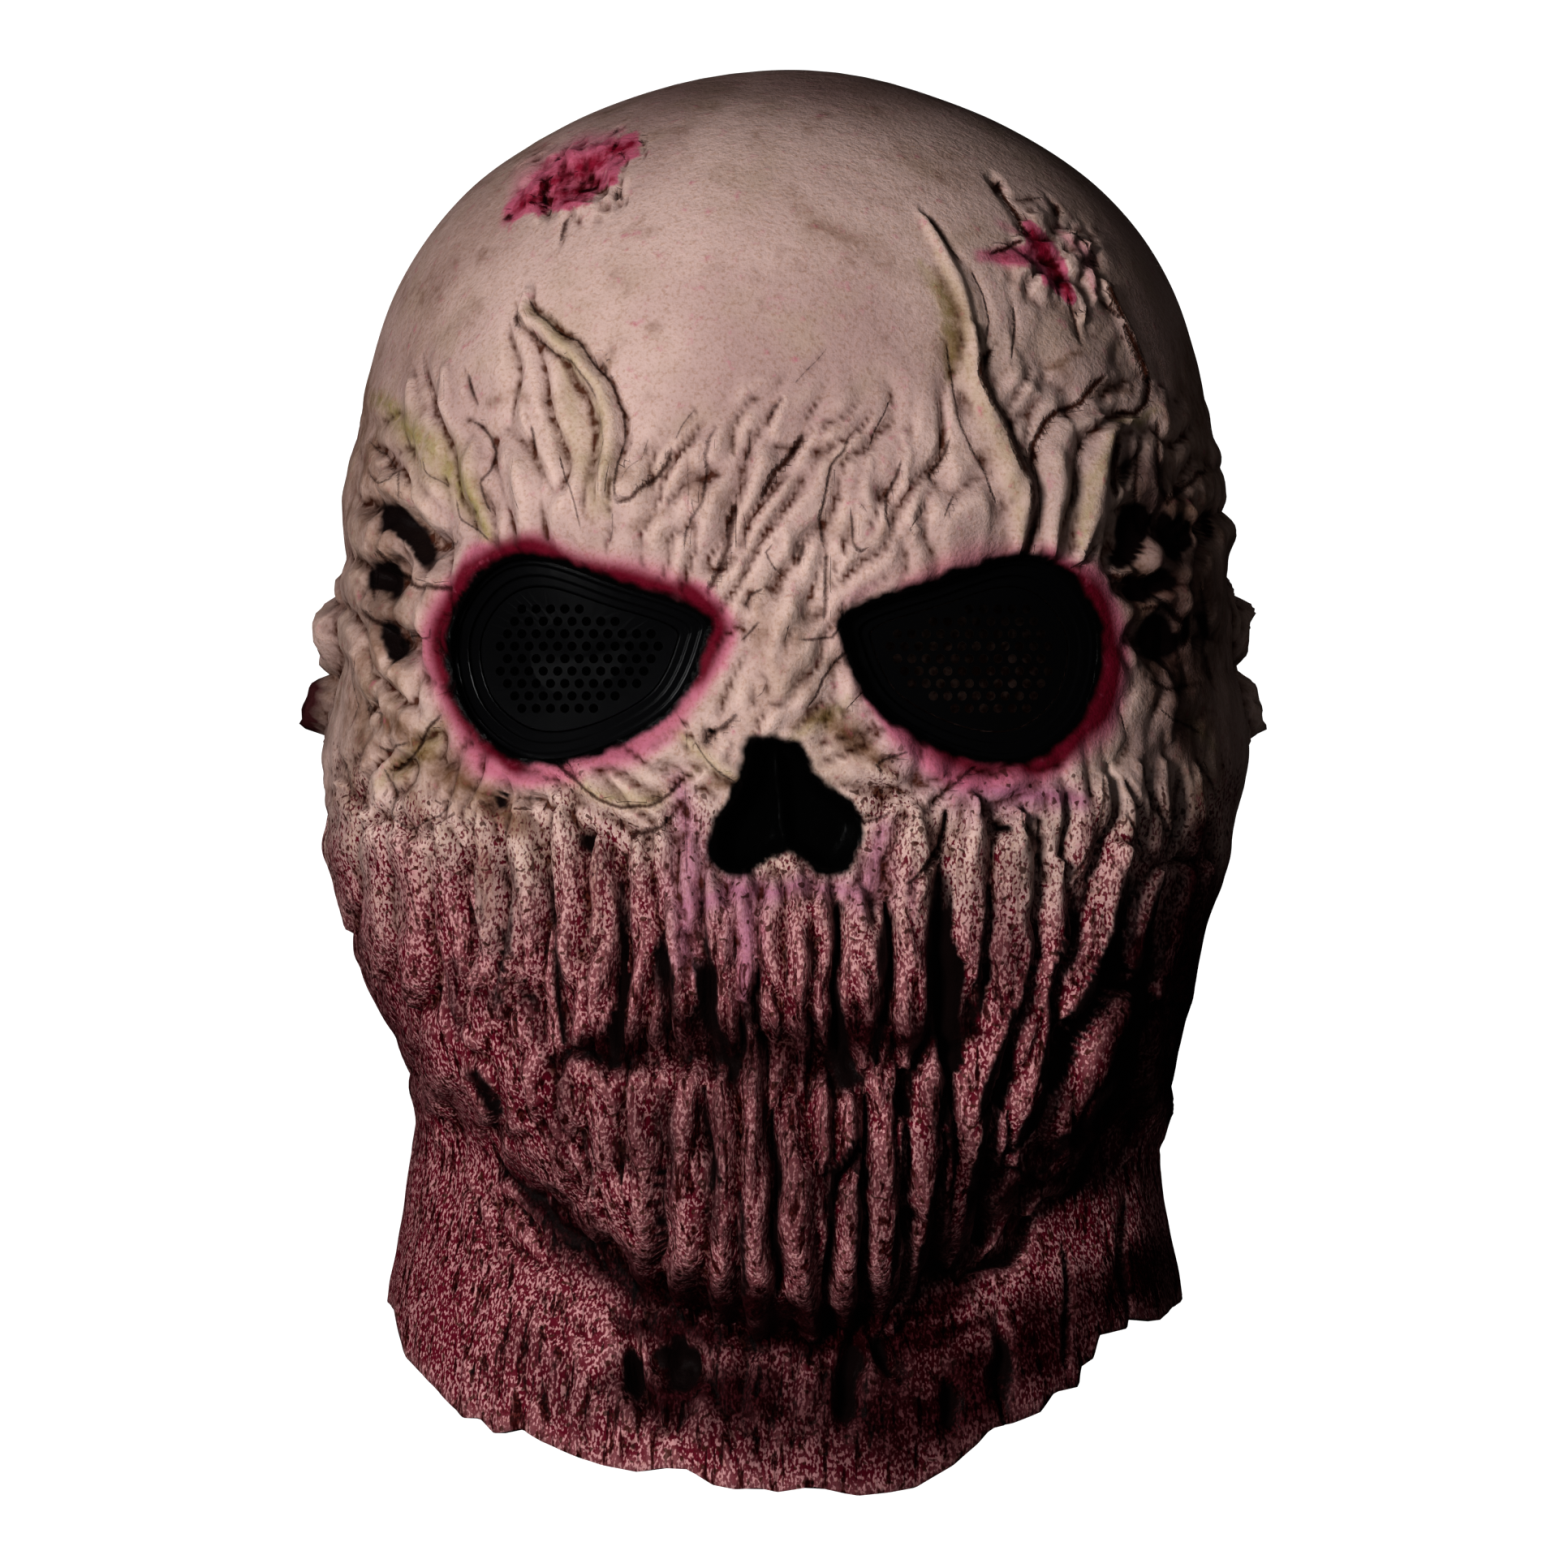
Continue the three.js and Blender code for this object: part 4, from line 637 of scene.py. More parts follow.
# Pits of the temples, cheeks, lips and jaw, then the slit of the mouth
PITS = [
    # across, down, half wide, half tall, lean, size
    (-83, 102, 15, 7, 44, 1.5),
    (-88.6, 112.6, 6.4, 8.4, -24, 1.2),
    (-86, 125.4, 8.4, 5.6, 46, 1.3),
    (-91.6, 141, 3.8, 5, 0, 0.5),
    (76.6, 102, 6, 14, 10, 1.4),
    (86, 101.6, 6, 11, -14, 1.3),
    (81, 113.8, 11, 5, -8, 1.3),
    (83.4, 124.4, 9, 9, 20, 1.3),
    (93.4, 101, 3.8, 8.8, 12, 0.9),
    (92.6, 122, 3.5, 7.5, 0, 0.8),
    (76, 88, 2.5, 8, 0, 0.7),
    (72.4, 71, 8.2, 3.5, -24, 0.45),
    (-62.6, 161.6, 2.8, 4.2, 0, 0.9),
    (-55, 160.6, 5.2, 2.5, 0, 0.6),
    (-43.6, 170.8, 3, 4.8, 25, 1.2),
    (-76, 174, 2.2, 8, 0, 0.4),
    (-67.6, 178, 3.2, 13, 0, 0.5),
    (-52.8, 181, 2.5, 11.8, 0, 0.5),
    (-17.4, 147.6, 3.5, 2, -40, 0.8),
    (46.8, 168.8, 4, 2.5, 0, 1),
    (41, 208, 4.2, 10, 0, 0.7),
    (70.6, 202.4, 6.2, 4.2, -35, 1.1),
    (64, 212, 3.8, 8.8, 20, 0.9),
    (26.6, 226.6, 3.5, 6.2, 0, 1),
    (-20, 217, 7.5, 5, 0, 0.5),
    (-55, 207, 5.5, 9.2, 0, 0.6),
    (-73, 206, 3.2, 8.2, 0, 0.5),
    (-65.4, 229.4, 3.2, 9.2, -35, 1),
    (-33, 288, 4.6, 12.5, -6, 1.5),
    (-24, 286, 5.4, 9.6, -30, 1.6),
    (14.6, 292, 5, 14, 6, 1.4),
    (22.6, 284, 5, 9, -30, 1.2),
    (35.4, 294, 3.6, 9.5, 0, 1.2),
    (47.4, 287, 4, 16.2, 4, 1.1),
    (59.2, 41.4, 9, 5, 58, 0.4),
    (-44.4, 22.6, 10, 4.2, -20, 0.4),
    (-52.8, 28, 2, 4.5, -10, 0.6),
    (-36.8, 26.8, 2.8, 1.9, 35, 0.6),
    (47, 24.4, 2.8, 1.8, 20, 0.6),
]
MOUTH = [(-50, 217), (-38, 218.4), (-20, 217.6), (0, 217.6), (20, 218.6), (40, 215)]
MOUTH_WIDTH = 12.0
MOUTH_DEPTH = 2.0

# Zones of wrinkles: sharp valleys between broad soft ridges
WRINKLE_HEIGHT = 1.9
WRINKLES = [
    # zone: across, down, half wide, half tall; lean, distance apart, length, size
    (-6, 96, 46, 36, 30, 6.6, 17, 1.4),
    (30, 90, 28, 34, 14, 6.6, 19, 1.1),
    (-62, 84, 30, 38, -6, 7, 20, 1.3),
    (-86, 116, 22, 58, -14, 6.4, 11, 1.6),
    (86, 108, 20, 50, 10, 6.4, 11, 1.5),
    (64, 72, 22, 24, 40, 7, 16, 0.9),
    (-38, 160, 36, 15, -62, 5, 16, 1.2),
    (34, 154, 34, 20, 58, 5.4, 16, 1.4),
    (0, 130, 24, 26, 14, 5.2, 13, 1.3),
    (78, 164, 30, 22, 6, 5.6, 20, 1.3),
    (-80, 158, 28, 20, 24, 5.6, 10, 1.4),
    (-47, 24, 17, 12, 60, 4.6, 5, 1.1),
    (61, 42, 15, 15, -30, 4.6, 6, 1.3),
    (-52, 206, 52, 46, 2, 4.4, 20, 1.6),
    (0, 226, 50, 50, 0, 3.8, 20, 1.4),
    (62, 214, 36, 46, 22, 4.2, 20, 1.3),
    (4, 192, 66, 26, -4, 4.6, 15, 1.3),
    (-50, 250, 30, 26, -32, 4.4, 18, 1.1),
    (-20, 290, 70, 26, 0, 4.8, 18, 0.9),
]

# Bumps and hollows of the silhouette on each side
SIDE_BUMPS = [
    # side, down, half tall, height
    (-1, 92, 8, 1.4),
    (-1, 152, 26, 2.8),
    (-1, 172, 8, 1.8),
    (-1, 196, 10, 1.6),
    (-1, 217, 14, -2.4),
    (1, 87, 6, 1),
    (1, 103, 7, 2),
    (1, 122, 6, 1),
    (1, 148, 24, 3.2),
    (1, 190, 18, -1.6),
    (1, 229, 13, 3.4),
]

# Low swellings that the ears are drawn on, in the side view
EARS = [
    # side, back of the axis, down, half long, half tall, size
    (-1, 7, 125, 19, 10.6, 0.9),
    (-1, 12, 140, 10, 8.4, 1.2),
    (1, 8, 123.6, 17, 9.4, 0.75),
    (1, 12, 140.4, 11, 9.4, 0.85),
]
# Folded rims of the withered ears and wrinkles round them, in the side view
EAR_RIDGES = [
    # places behind the axis and down, width, size
    ([(-8, 126), (-6, 117), (4, 113), (16, 115), (22, 122), (19, 134), (13, 146)], 5.4, 1),
    ([(0, 121), (8, 117), (14, 124), (10, 134)], 4, 0.8),
    ([(-2, 140), (3, 148), (10, 150)], 5.4, 0.8),
]
EAR_HOLLOWS = [
    # places behind the axis and down, width, size
    ([(2, 128), (4, 136), (7, 141)], 6, 1),
    ([(-1, 118), (7, 113), (15, 117), (17, 126)], 2.6, 0.8),
    ([(-14, 112), (-12, 128), (-15, 146)], 3, 0.6),
    ([(-22, 96), (-19, 112), (-22, 130)], 3, 0.6),
    ([(27, 108), (31, 124), (26, 142), (18, 156)], 3.4, 0.6),
    ([(-8, 158), (-6, 176), (-9, 196)], 3.4, 0.7),
    ([(4, 160), (5, 180), (0, 202)], 3.4, 0.7),
    ([(16, 166), (15, 184), (9, 206)], 3.4, 0.6),
    ([(-18, 164), (-19, 190), (-16, 214)], 3.4, 0.7),
    ([(-12, 208), (-8, 224), (-10, 240)], 3.4, 0.6),
]
EAR_RIDGE_HEIGHT = 1.6


def line_field(across, down, places, reach):
    """Which points lie near a line of places, how far to one side of it each is, how far
    along it, and how long it is."""
    places = np.array(places)
    low, high = places.min(axis=0) - reach, places.max(axis=0) + reach
    near_by = (across > low[0]) & (across < high[0]) & (down > low[1]) & (down < high[1])
    x, w = across[near_by], down[near_by]
    runs = np.diff(places, axis=0)
    lengths = np.hypot(*runs.T)
    aside, along = np.full(x.shape, np.inf), np.zeros(x.shape)
    for start, run, length, done in zip(places, runs, lengths, np.cumsum(lengths) - lengths):
        t = np.clip(((x - start[0]) * run[0] + (w - start[1]) * run[1]) / length**2, 0, 1)
        out_x, out_w = x - start[0] - t * run[0], w - start[1] - t * run[1]
        away = np.hypot(out_x, out_w)
        closer = away < np.abs(aside)
        aside = np.where(closer, np.where(run[0] * out_w > run[1] * out_x, away, -away), aside)
        along = np.where(closer, done + t * length, along)
    return near_by, aside, along, lengths.sum()


def line_reach(across, down, places, width):
    """How deep each point lies in a line of some width: 1 on it, 0 at its edge or past it.
    The line narrows towards its two ends."""
    reach = np.zeros(across.shape)
    near_by, aside, along, total = line_field(across, down, places, 0.5 * width)
    taper = np.clip(np.minimum(along, total - along) / (1.3 * width), 0.12, 1) ** 0.5
    reach[near_by] = np.clip(1 - np.abs(aside) / (0.5 * width * taper), 0, 1)
    return reach


def round_top(reach):
    return (1 - (1 - reach) ** 2) ** 0.8


def soft_top(reach):
    return np.sin(reach * math.pi / 2) ** 2


def strongest(across, down, rows, profile, wider=0.0):
    result = np.zeros(across.shape)
    for places, width, size in rows:
        reach = line_reach(across, down, places, width + wider)
        result = np.maximum(result, size * profile(reach))
    return result


def oval(across, down, row, edge):
    middle, level, half_wide, half_tall, lean, size = row
    turned = math.radians(lean)
    x, w = across - middle, down - level
    wide = (x * math.cos(turned) + w * math.sin(turned)) / half_wide
    tall = (w * math.cos(turned) - x * math.sin(turned)) / half_tall
    return size * (1 - smooth_step(edge, 1, np.hypot(wide, tall)))


def noise_at(points, sizes, shift=0.0):
    """Smooth noise from -1 to 1, with lumps of the given sizes in millimetres along X, Y, Z."""
    scaled = points.reshape(-1, 3) / sizes + shift
    values = np.array([noise.noise(Vector(p)) for p in scaled.tolist()])
    return values.reshape(points.shape[:-1])


WANDER = 0.7  # how far the lines wander from their chart
LUMPS = 0.45
SWELLS = 0.5


def chart_place(points):
    """Place of each point in the chart of the face, a little unsteady as by hand."""
    across, down = front_view(points)
    wander = WANDER * (1 + 1.5 * smooth_step(160, 200, down))
    return (across + wander * noise_at(points, (9, 9, 12)),
            down + 2 * wander * noise_at(points, (8, 8, 12), 31.7))


def pitted(points):
    """Depth of the pits, whose edges are torn."""
    across, down = chart_place(points)
    torn = 2.6 * noise_at(points, (9, 9, 9), 12.6) + 0.9 * noise_at(points, (3.4, 3.4, 3.4), 5.3)
    return np.max([oval(across + torn, down - torn, row, 0) for row in PITS], axis=0)


def wrinkled(across, down, row, number):
    middle, level, half_wide, half_tall, lean, apart, long, size = row
    height = oval(across, down, (middle, level, half_wide, half_tall, 0, size), 0.35)
    zone = height > 0
    turned = math.radians(lean)
    x, w = across[zone] - middle, down[zone] - level
    spot = np.stack([x * math.cos(turned) + w * math.sin(turned),
                     w * math.cos(turned) - x * math.sin(turned),
                     np.full(x.shape, 43.7 * number)], axis=-1)
    spot[..., 0] += 0.45 * apart * noise_at(spot, (14, 14, 14))
    height[zone] *= np.minimum(2.6 * np.abs(noise_at(spot, (apart, long, 20))), 1) - 0.5
    return height


def relief(base):
    """Height of the casting over its smooth form."""
    across, down = chart_place(base)
    facing = 1 - smooth_step(0, FACE_FADE, base[..., 1])
    height = FORM_HEIGHT * sum(oval(across, down, row, 0) for row in FORMS)
    height += VEIN_HEIGHT * strongest(across, down, VEINS, soft_top)
    height += FOLD_HEIGHT * strongest(across, down, FOLDS, soft_top)
    height += WRINKLE_HEIGHT * sum(wrinkled(across, down, row, i) for i, row in enumerate(WRINKLES))
    height += STRAND_HEIGHT * strongest(across, down, STRANDS, round_top)
    height -= GROOVE_DEPTH * strongest(across, down, GROOVES, soft_top)
    height -= CREASE_DEPTH * strongest(across, down, CREASES, soft_top, CREASE_SLOPE)
    height -= PIT_DEPTH * pitted(base)
    height -= MOUTH_DEPTH * soft_top(line_reach(across, down, MOUTH, MOUTH_WIDTH))
    height *= facing
    across, down = front_view(base)
    eyes = np.minimum(*(outline_distance(across, down, eye_view(side)) for side in (-1, 1)))
    height -= facing * EYE_SINK * (1 - smooth_step(-1, EYE_SLOPE, eyes))
    hollow = smooth_step(0, NOSE_SLOPE, -outline_distance(across, down, nose_loop))
    septum = soft_top(line_reach(across, down, SEPTUM, SEPTUM_WIDTH))
    nose = np.maximum(NOSE_DEPTH * hollow - (NOSE_DEPTH - SEPTUM_SETBACK) * septum * hollow, 0)
    height -= facing * nose
    height += side_relief(base)
    height += LUMPS * noise_at(base, (5, 5, 9), 4.1) * smooth_step(50, 90, down)
    return height + SWELLS * noise_at(base, (34, 34, 34), 8.3)


def side_relief(base):
    level = CROWN - base[..., 2]
    behind = base[..., 1]
    height = np.zeros(level.shape)
    for side, back, down, half_long, half_tall, size in EARS:
        row = (back, down, half_long, half_tall, 0, size)
        lobe = np.where(base[..., 0] * side > 0, oval(behind, level, row, 0.55), 0)
        height = np.maximum(height, EAR_HEIGHT * lobe)
    beside = smooth_step(0.3 * HEAD_WIDTH, 0.42 * HEAD_WIDTH, np.abs(base[..., 0]))
    height += beside * EAR_RIDGE_HEIGHT * strongest(behind, level, EAR_RIDGES, soft_top)
    height -= beside * EAR_RIDGE_HEIGHT * strongest(behind, level, EAR_HOLLOWS, soft_top)
    for side, down, half_tall, size in SIDE_BUMPS:
        row = (0, down, 0.3 * HEAD_DEPTH, half_tall, 0, size)
        height += np.where(base[..., 0] * side > 0, beside * oval(behind, level, row, 0), 0)
    return height


# Rings and columns of the outer skin, close where the face has detail, and of the
# plain inner wall
OUTER_RINGS = [(0.020, 6), (0.060, 10), (0.160, 20), (0.360, 50), (0.540, 46), (0.900, 90), (1.000, 16)]
OUTER_COLUMNS = [(-112, 19), (-70, 32), (70, 286), (112, 32), (180, 19)]
INNER_RINGS = [(0.020, 2), (0.160, 5), (0.540, 12), (0.900, 16), (1.000, 5)]
INNER_COLUMNS = [(-112, 6), (-70, 8), (70, 48), (112, 8), (180, 6)]


def spread(bands, start):
    """Values that step through bands of (end, count)."""
    values = [start]
    for end, count in bands:
        values.extend(np.linspace(values[-1], end, count + 1)[1:])
    return np.array(values)


def ring_shell(ring_bands, column_bands, skin):
    """Sphere whose rings run down the meridians of the mask, open at the hem."""
    shares = spread(ring_bands, 0.0)
    crown_end, crown_count = ring_bands[0]
    shares[:crown_count] = crown_end * (np.arange(crown_count) / crown_count) ** 2
    turns = np.radians(spread(column_bands, -180.0)[:-1])
    shape = bmesh.new()
    bmesh.ops.create_uvsphere(
        shape, u_segments=len(turns), v_segments=len(shares), radius=1)
    foot = min(shape.verts, key=lambda vert: vert.co.z)
    bmesh.ops.delete(shape, geom=[foot], context="VERTS")
    place = np.array([vert.co for vert in shape.verts])
    ring = np.rint(np.arccos(np.clip(place[:, 2], -1, 1)) / math.pi * len(shares)).astype(int)
    circled = np.arctan2(place[:, 1], place[:, 0]) + 1.5 * math.pi
    column = np.rint(circled / (2 * math.pi) * len(turns)).astype(int) % len(turns)
    turn = turns[column]
    down = np.maximum(shares[ring], 1e-5) * hem_drop(turn)
    points = skin(turn, down, ring == len(shares) - 1)
    points[ring == 0] = skin(np.zeros(1), np.full(1, 1e-5), np.zeros(1, bool))[0] * (0, 0, 1)
    for vert, point in zip(shape.verts, points):
        vert.co = point * MM
    return shape


def outer_skin(turn, down, _):
    base = base_point(turn, down)
    return base + base_normal(turn, down) * relief(base)[:, None]


def inner_skin(turn, down, at_hem):
    """Smooth inner wall, which steps back behind deep hollows and the crease under the jaw."""
    base, normal = base_point(turn, down), base_normal(turn, down)
    lowest = np.zeros(turn.shape)
    for turn_step in np.radians([-3.6, -1.8, 0, 1.8, 3.6]):
        for down_step in (-0.022, -0.011, 0, 0.011, 0.022):
            near_by = base_point(turn + turn_step, np.maximum(down + down_step, 0))
            height = ((near_by - base) * normal).sum(axis=-1) + relief(near_by)
            lowest = np.minimum(lowest, height)
    offset = np.where(at_hem, WALL, np.maximum(WALL, LEAST_WALL - lowest))
    return base - normal * offset[:, None]


def finished_mesh(name, shape):
    mesh = bpy.data.meshes.new(name)
    shape.to_mesh(mesh)
    shape.free()
    piece = bpy.data.objects.new(name, mesh)
    bpy.context.scene.collection.objects.link(piece)
    return piece


casting_shape = ring_shell(OUTER_RINGS, OUTER_COLUMNS, outer_skin)
inner_shape = ring_shell(INNER_RINGS, INNER_COLUMNS, inner_skin)
bmesh.ops.reverse_faces(inner_shape, faces=inner_shape.faces)
for face in inner_shape.faces:
    face.material_index = 1
inner_mesh = bpy.data.meshes.new("inner_wall")
inner_shape.to_mesh(inner_mesh)
inner_shape.free()
casting_shape.from_mesh(inner_mesh)
bpy.data.meshes.remove(inner_mesh)
hem_edges = [edge for edge in casting_shape.edges if edge.is_boundary]
bmesh.ops.bridge_loops(casting_shape, edges=hem_edges)
casting = finished_mesh("mask_casting", casting_shape)


def ring_block(side, rows, name):
    """Closed ring or block that follows an eye's outline: rows of inset, depth behind the
    smooth form and, in a block, share of the way out, spun round the outline. A first
    inset of None starts on the middle."""
    shape = bmesh.new()
    verts = [shape.verts.new((1 + i, 0, 0)) for i in range(len(rows))]
    edges = [shape.edges.new(pair) for pair in zip(verts, verts[1:])]
    if rows[0][0] is not None:
        edges.append(shape.edges.new((verts[-1], verts[0])))
    bmesh.ops.spin(
        shape, geom=verts + edges, axis=(0, 0, 1), cent=(0, 0, 0),
        steps=len(eye_loop), angle=2 * math.pi, use_merge=True)
    place = np.array([vert.co for vert in shape.verts])
    row = np.rint(np.hypot(place[:, 0], place[:, 1]) - 1).astype(int)
    spot = np.rint(np.arctan2(place[:, 1], place[:, 0]) / (2 * math.pi) * len(eye_loop)).astype(int)
    inset = np.array([0 if entry[0] is None else entry[0] for entry in rows], float)[row]
    reach = np.array([entry[2] if len(entry) > 2 else 1 for entry in rows], float)[row]
    depth = np.array([entry[1] for entry in rows], float)[row]
    share = eye_loop[spot % len(eye_loop)] * reach[:, None]
    across = FACE_MIDDLE + side * EYE_SPACING / 2 + side * share[:, 0] * (EYE_WIDTH - 2 * inset)
    down = EYE_DOWN + share[:, 1] * (EYE_HEIGHT - 2 * inset)
    points = base_point(*face_place(across, down))
    points[:, 1] += depth
    for vert, point in zip(shape.verts, points):
        vert.co = point * MM
    bmesh.ops.remove_doubles(shape, verts=shape.verts, dist=0.01 * MM)
    bmesh.ops.recalc_face_normals(shape, faces=shape.faces)
    return finished_mesh(name, shape)


GAP = 0.3
RIM_FRONT = 1.5 * WALL + GAP
RIM_LAP = 3
THROUGH = 40


def cut(piece, cutter):
    """Takes the cutter out of the piece and keeps the result as its mesh."""
    modifier = piece.modifiers.new("cut", "BOOLEAN")
    modifier.operation = "DIFFERENCE"
    modifier.solver = "MANIFOLD"
    modifier.object = cutter
    bpy.context.view_layer.update()
    result = bpy.data.meshes.new_from_object(
        piece.evaluated_get(bpy.context.evaluated_depsgraph_get()))
    piece.modifiers.clear()
    piece.data = result
    bpy.data.objects.remove(cutter)


def solid_rows(inset, front, back):
    """Rows of a solid block: from the middle of its front to the middle of its back."""
    return [(None, front, 0), (inset, front, 0.5), (inset, front, 1),
            (inset, back, 1), (inset, back, 0.5), (None, back, 0)]


for eye_side in (-1, 1):
    cut(casting, ring_block(eye_side, solid_rows(0, -THROUGH, THROUGH), "hole"))
    cut(casting, ring_block(eye_side, solid_rows(-RIM_LAP - GAP, RIM_FRONT - GAP, THROUGH), "seat"))

# Paint masks, one value to a vertex, from the same chart as the relief
mesh = casting.data
count = len(mesh.vertices)
points = np.empty(count * 3)
mesh.vertices.foreach_get("co", points)
points = points.reshape(-1, 3) / MM
normals = np.empty(count * 3)
mesh.vertices.foreach_get("normal", normals)
normals = normals.reshape(-1, 3)
seen_across, seen_down = front_view(points)
chart_across, chart_down = chart_place(points)
front = 1 - smooth_step(0, FACE_FADE, points[:, 1])


def hollowness(rounds):
    """How far each vertex lies below the mean of its surroundings, in millimetres."""
    ends = np.empty(len(mesh.edges) * 2, int)
    mesh.edges.foreach_get("vertices", ends)
    a, b = ends.reshape(-1, 2).T
    links = np.bincount(a, minlength=count) + np.bincount(b, minlength=count)
    mean = points.copy()
    for _ in range(rounds):
        total = np.stack([
            np.bincount(a, mean[b, axis], count) + np.bincount(b, mean[a, axis], count)
            for axis in range(3)], axis=1)
        mean = 0.5 * mean + 0.5 * total / links[:, None]
    return ((mean - points) * normals).sum(axis=1)


def painted(rows, soft):
    """Strength of airbrushed strokes: rows of places, width and size."""
    result = np.zeros(count)
    for places, width, size in rows:
        result = np.maximum(result, size * line_reach(chart_across, chart_down, places, width) ** soft)
    return result * front


def crease_field(rows, reach):
    """Distance to one side of the nearest crease, in its half widths, and its strength."""
    nearest, aside, ink = np.full(count, reach), np.full(count, 8.0), np.zeros(count)
    for places, width, size in rows:
        near_by, away, along, total = line_field(chart_across, chart_down, places, reach)
        where = np.flatnonzero(near_by)
        closer = np.abs(away) < nearest[where]
        where, away, along = where[closer], away[closer], along[closer]
        taper = smooth_step(0, min(2.2, 0.4 * total), np.minimum(along, total - along))
        nearest[where] = np.abs(away)
        aside[where] = np.clip(away / (0.5 * width), -8, 8)
        ink[where] = size * taper * smooth_step(reach, 0.6 * reach, np.abs(away))
    return aside, ink * front


# Airbrushed tints, green along the veins and lilac round the nose and under one eye
GREEN_STROKES = [
    # places, width, size
    ([(-56.6, 52), (-48, 62), (-41, 72), (-39.4, 98)], 8, 0.7),
    ([(-49, 64), (-47, 76), (-42, 96)], 20, 0.55),
    ([(-90, 72), (-82, 80), (-75, 87), (-70, 95), (-66, 103)], 17, 1.1),
    ([(34, 40), (40, 54), (41, 68), (50, 86), (53, 104)], 10, 0.5),
    ([(30, 42), (35.6, 50), (37, 60), (36, 68)], 8, 0.9),
    ([(66, 104), (68.6, 90), (73, 80)], 10, 0.8),
    ([(73, 78), (78, 77), (83, 74)], 6, 1),
    ([(2, 148), (8, 144), (14, 139)], 9, 1),
    ([(-24, 146), (-20, 151), (-10, 157)], 8, 0.8),
    ([(-90, 158), (-80, 150), (-74, 143)], 13, 0.8),
    ([(-51, 155), (-40, 161), (-28, 161), (-20, 155)], 6, 0.8),
    ([(88, 142), (95, 150)], 10, 0.7),
]
LILAC_STROKES = [
    # places, width, size
    ([(16, 126), (25, 142), (40, 158), (66, 161)], 24, 1.15),
    ([(13, 118), (20, 114)], 8, 0.4),
    ([(-22, 184), (-8, 182), (4, 180)], 30, 1.1),
    ([(-9, 176), (-8.6, 206)], 18, 1),
    ([(4, 181), (18, 182), (22, 168)], 27, 0.95),
    ([(-24, 158), (-20, 178), (-22, 198)], 27, 0.9),
    ([(-44, 153), (-26, 148)], 12, 0.7),
    ([(38, 162), (50, 161)], 8, 0.6),
    ([(28, 176), (28, 188)], 9, 0.6),
]
# Where the red rings round the eyes are strong
PINK_STROKES = [
    # places, width, size
    ([(-66, 107), (-44, 106), (-19, 117)], 20, 0.6),
    ([(-68, 108), (-76, 127), (-70, 149), (-48, 157)], 26, 1.1),
    ([(-52, 155), (-26, 143), (-18, 135)], 20, 0.75),
    ([(-19, 116), (-12, 125), (-19, 137)], 22, 1.1),
    ([(27, 115), (42, 108.6), (56, 105)], 16, 0.4),
    ([(60, 106), (73, 119), (74.6, 132), (71.6, 147), (62, 156)], 26, 1.1),
    ([(68, 154), (50, 158), (38, 155), (22, 138)], 28, 1.2),
]
CRIMSON_STROKES = [
    # places, width, size
    ([(-70, 110), (-58, 105), (-42, 109), (-26, 115)], 20, 0.8),
    ([(-22, 114), (-16, 123), (-18, 134)], 24, 1),
    ([(-71, 110), (-76, 124), (-72, 142), (-60, 153)], 20, 1),
    ([(60, 106), (71, 118), (73, 134)], 26, 1),
    ([(73, 130), (69, 148), (56, 156)], 34, 1.6),
    ([(60, 155), (42, 155), (24, 140)], 16, 0.6),
]
# Sore skin round the two wounds, the wounds, and raw flesh in them
SORE_STROKES = [
    # places, width, size
    ([(43, 41), (49, 40), (56, 41)], 14, 1.1),
    ([(47, 33), (52, 35)], 8, 0.6),
    ([(60, 34), (67, 40), (69, 49)], 7, 0.6),
    ([(-62, 33), (-58, 24), (-46, 16), (-36, 13)], 12, 0.7),
]
WOUND_STROKES = [
    # places, width, size
    ([(-60, 31), (-55, 27), (-49, 23), (-42, 19.6), (-34, 16)], 16, 1.15),
    ([(-54, 30), (-46, 26), (-38, 23)], 11, 1.15),
    ([(45, 40.6), (52, 40), (60, 41)], 7, 0.9),
    ([(54, 34), (58, 41), (63, 50)], 11, 1.5),
]
FLESH_STROKES = [
    # places, width, size
    ([(-54, 24), (-53.4, 31)], 4, 1),
    ([(-52, 29), (-47, 25.6), (-43, 23), (-38.4, 22.6)], 7, 0.55),
    ([(-57, 29), (-52, 29.4)], 2.4, 0.8),
    ([(58, 40), (60.6, 44), (63.6, 48.6)], 6, 0.9),
]
